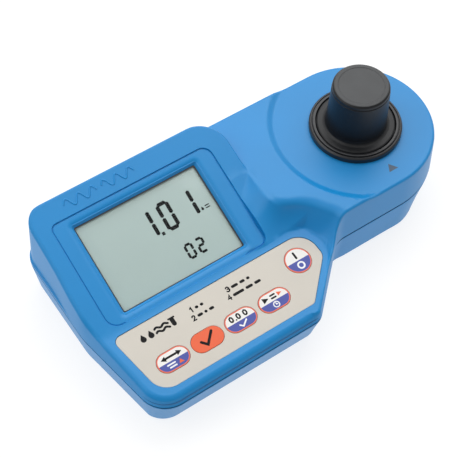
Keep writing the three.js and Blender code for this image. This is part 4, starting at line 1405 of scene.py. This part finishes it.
# ---------------------------------------------------------------- cuvette
def cuvette():
    """Glass vial with a narrower neck, and its stopper."""
    low, high = box_mm("cuvette_vial")
    r, wall, neck_r = (high[0] - low[0]) / 2, 1.2, 9.3
    bottom, shoulder, neck_z, top = low[2], 36.0, 39.0, high[2]
    profile = [(0, bottom + 0.4, 0), (r - 2.5, bottom, 0.6), (r, bottom, 1.0), (r, shoulder, 1.6),
               (neck_r, neck_z, 1.2), (neck_r, top, 0.3), (neck_r - wall, top, 0.3),
               (neck_r - wall, neck_z, 1.2), (r - wall, shoulder - 0.6, 1.2),
               (r - wall, bottom + 2.0, 1.2), (0, bottom + 2.0, 0)]
    turned("cuvette_glass", "cuvette", HEAD, profile, GLASS, "vial_glass", "cuvette_vial", 72)
    low, high = box_mm("cuvette_stopper")
    bottom, top = low[2], high[2]
    profile = [(0, bottom, 0), (7.3, bottom, 0.3), (7.7, bottom + 1.0, 0.3), (7.7, top - 1.3, 0.05),
               (9.2, top - 1.3, 0.15), (9.2, top, 0.3), (4.0, top, 0.2), (3.6, top - 0.4, 0.2),
               (0, top - 0.4, 0)]
    turned("cuvette_stopper_plug", "stopper", HEAD, profile, WHITE_SOFT, "white_plastic",
           "cuvette_stopper", 60)


# ---------------------------------------------------------------- carried-over CAD nodes
CAD_LOOKS = [
    (RUBBER, "case_seal cover_seal_ring lcd_contact_strip"),
    (STEEL, "board_screw_1 board_screw_2 dome_range dome_check dome_zero dome_read dome_power"),
    (BOARD, "keypad_board main_board lamp_board detector_board"),
    (BLACK_FINE, "keypad_ribbon photodetector battery_lead_black"),
    (BLACK, "cuvette_well battery_snap"),
    (BLUE_SEAM_SHADE_AND_INSIDE, "battery_box"),
    (GLASS, "lamp lamp_lens"),
    (FILTER, "light_filter"),
    (SHELL_CAN, "battery_9v"),
    (RED_LEAD, "battery_lead_red"),
]


def dress_cad_nodes():
    for material, nodes in CAD_LOOKS:
        for node in nodes.split():
            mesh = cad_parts[node].data
            mesh.materials.clear()
            mesh.materials.append(material)


upper_case()
lower_case()
collar()
cap()
film()
for key_name in KEY_NAMES:
    key(key_name)
key_print()
film_print()
display()
display_figures()
panel_ornament()
head_mark()
feet()
screws()
battery_cover()
cuvette()
dress_cad_nodes()


# ---------------------------------------------------------------- floor, light and camera
def stage_floor(size=3.0):
    """Pale floor that gives its own light, and is clear when seen from below."""
    mesh = bpy.data.meshes.new("floor")
    corners = [(-size, -size, 0), (size, -size, 0), (size, size, 0), (-size, size, 0)]
    mesh.from_pydata(corners, [], [(0, 1, 2, 3)])
    white = surface("floor_white", (0.25, 0.25, 0.25), 0.7, vary=0.0, specular=0.1, glow=3.2)
    kit, nodes = Nodes(white.node_tree), white.node_tree.nodes
    side = kit.add("ShaderNodeNewGeometry").outputs["Backfacing"]
    through = kit.add("ShaderNodeBsdfTransparent").outputs[0]
    one_sided = kit.blend(side, nodes["Principled BSDF"].outputs[0], through)
    kit.link(one_sided, nodes["Material Output"].inputs["Surface"])
    mesh.materials.append(white)
    floor = bpy.data.objects.new("floor", mesh)
    bpy.context.scene.collection.objects.link(floor)


def area_light(name, place, size, power):
    """Square soft light aimed at the middle of the object."""
    data = bpy.data.lights.new(name, "AREA")
    data.shape = "RECTANGLE"
    data.size = data.size_y = size
    data.energy = power
    light = bpy.data.objects.new(name, data)
    light.location = place
    aim = (Vector((0, 0, 0.03)) - Vector(place)).normalized()
    light.rotation_euler = aim.to_track_quat("-Z", "Y").to_euler()
    bpy.context.scene.collection.objects.link(light)


SKY_AIM = Vector((0.42, 0.50, 0.76)).normalized()  # towards the sky's brightest place
SKY_DARK, SKY_BRIGHT = 0.27, 0.80


def sky():
    """Soft studio surround: bright overhead and away from the camera, darker low and near."""
    world = bpy.data.worlds.new("studio")
    bpy.context.scene.world = world
    world.use_nodes = True
    kit = Nodes(world.node_tree)
    toward = kit.add("ShaderNodeVectorMath", operation="DOT_PRODUCT")
    kit.link(kit.add("ShaderNodeTexCoord").outputs["Generated"], toward.inputs[0])
    toward.inputs[1].default_value = tuple(SKY_AIM)
    level = kit.ramp(toward.outputs["Value"], SKY_DARK, SKY_BRIGHT, -0.10, 0.90,
                     interpolation_type="SMOOTHSTEP")
    back = world.node_tree.nodes["Background"]
    kit.link(level, back.inputs["Strength"])
    back.inputs["Color"].default_value = (1, 1, 1, 1)


# The camera as solved from the photo: angles in degrees, lengths in metres, lens in mm.
CAMERA_ANGLES = (-35.30, 56.21, 1.454)  # azimuth, elevation, roll
CAMERA_TARGET, CAMERA_DISTANCE, CAMERA_LENS = (-0.0133, 0.00933, 0.020), 0.540, 95.03


def camera():
    azimuth, elevation, roll = (math.radians(a) for a in CAMERA_ANGLES)
    level = Vector((math.cos(azimuth), math.sin(azimuth), 0))
    back = Vector((math.sin(azimuth) * math.cos(elevation), -math.cos(azimuth) * math.cos(elevation),
                   math.sin(elevation)))
    right = math.cos(roll) * level + math.sin(roll) * back.cross(level)
    place = Vector(CAMERA_TARGET) + back * CAMERA_DISTANCE
    data = bpy.data.cameras.new("camera")
    data.lens = CAMERA_LENS
    data.sensor_width = 36
    data.clip_start, data.clip_end = 0.01, 20
    view = bpy.data.objects.new("camera", data)
    view.matrix_world = Matrix((right, back.cross(right), back)).transposed().to_4x4()
    view.matrix_world.translation = place
    bpy.context.scene.collection.objects.link(view)
    bpy.context.scene.camera = view


stage_floor()
sky()
area_light("far_softbox", (0.28, 0.32, 0.69), 0.75, 3.4)
area_light("left_softbox", (-0.45, 0.15, 0.50), 0.60, 1.15)
camera()
bpy.context.scene.view_settings.view_transform = "Standard"
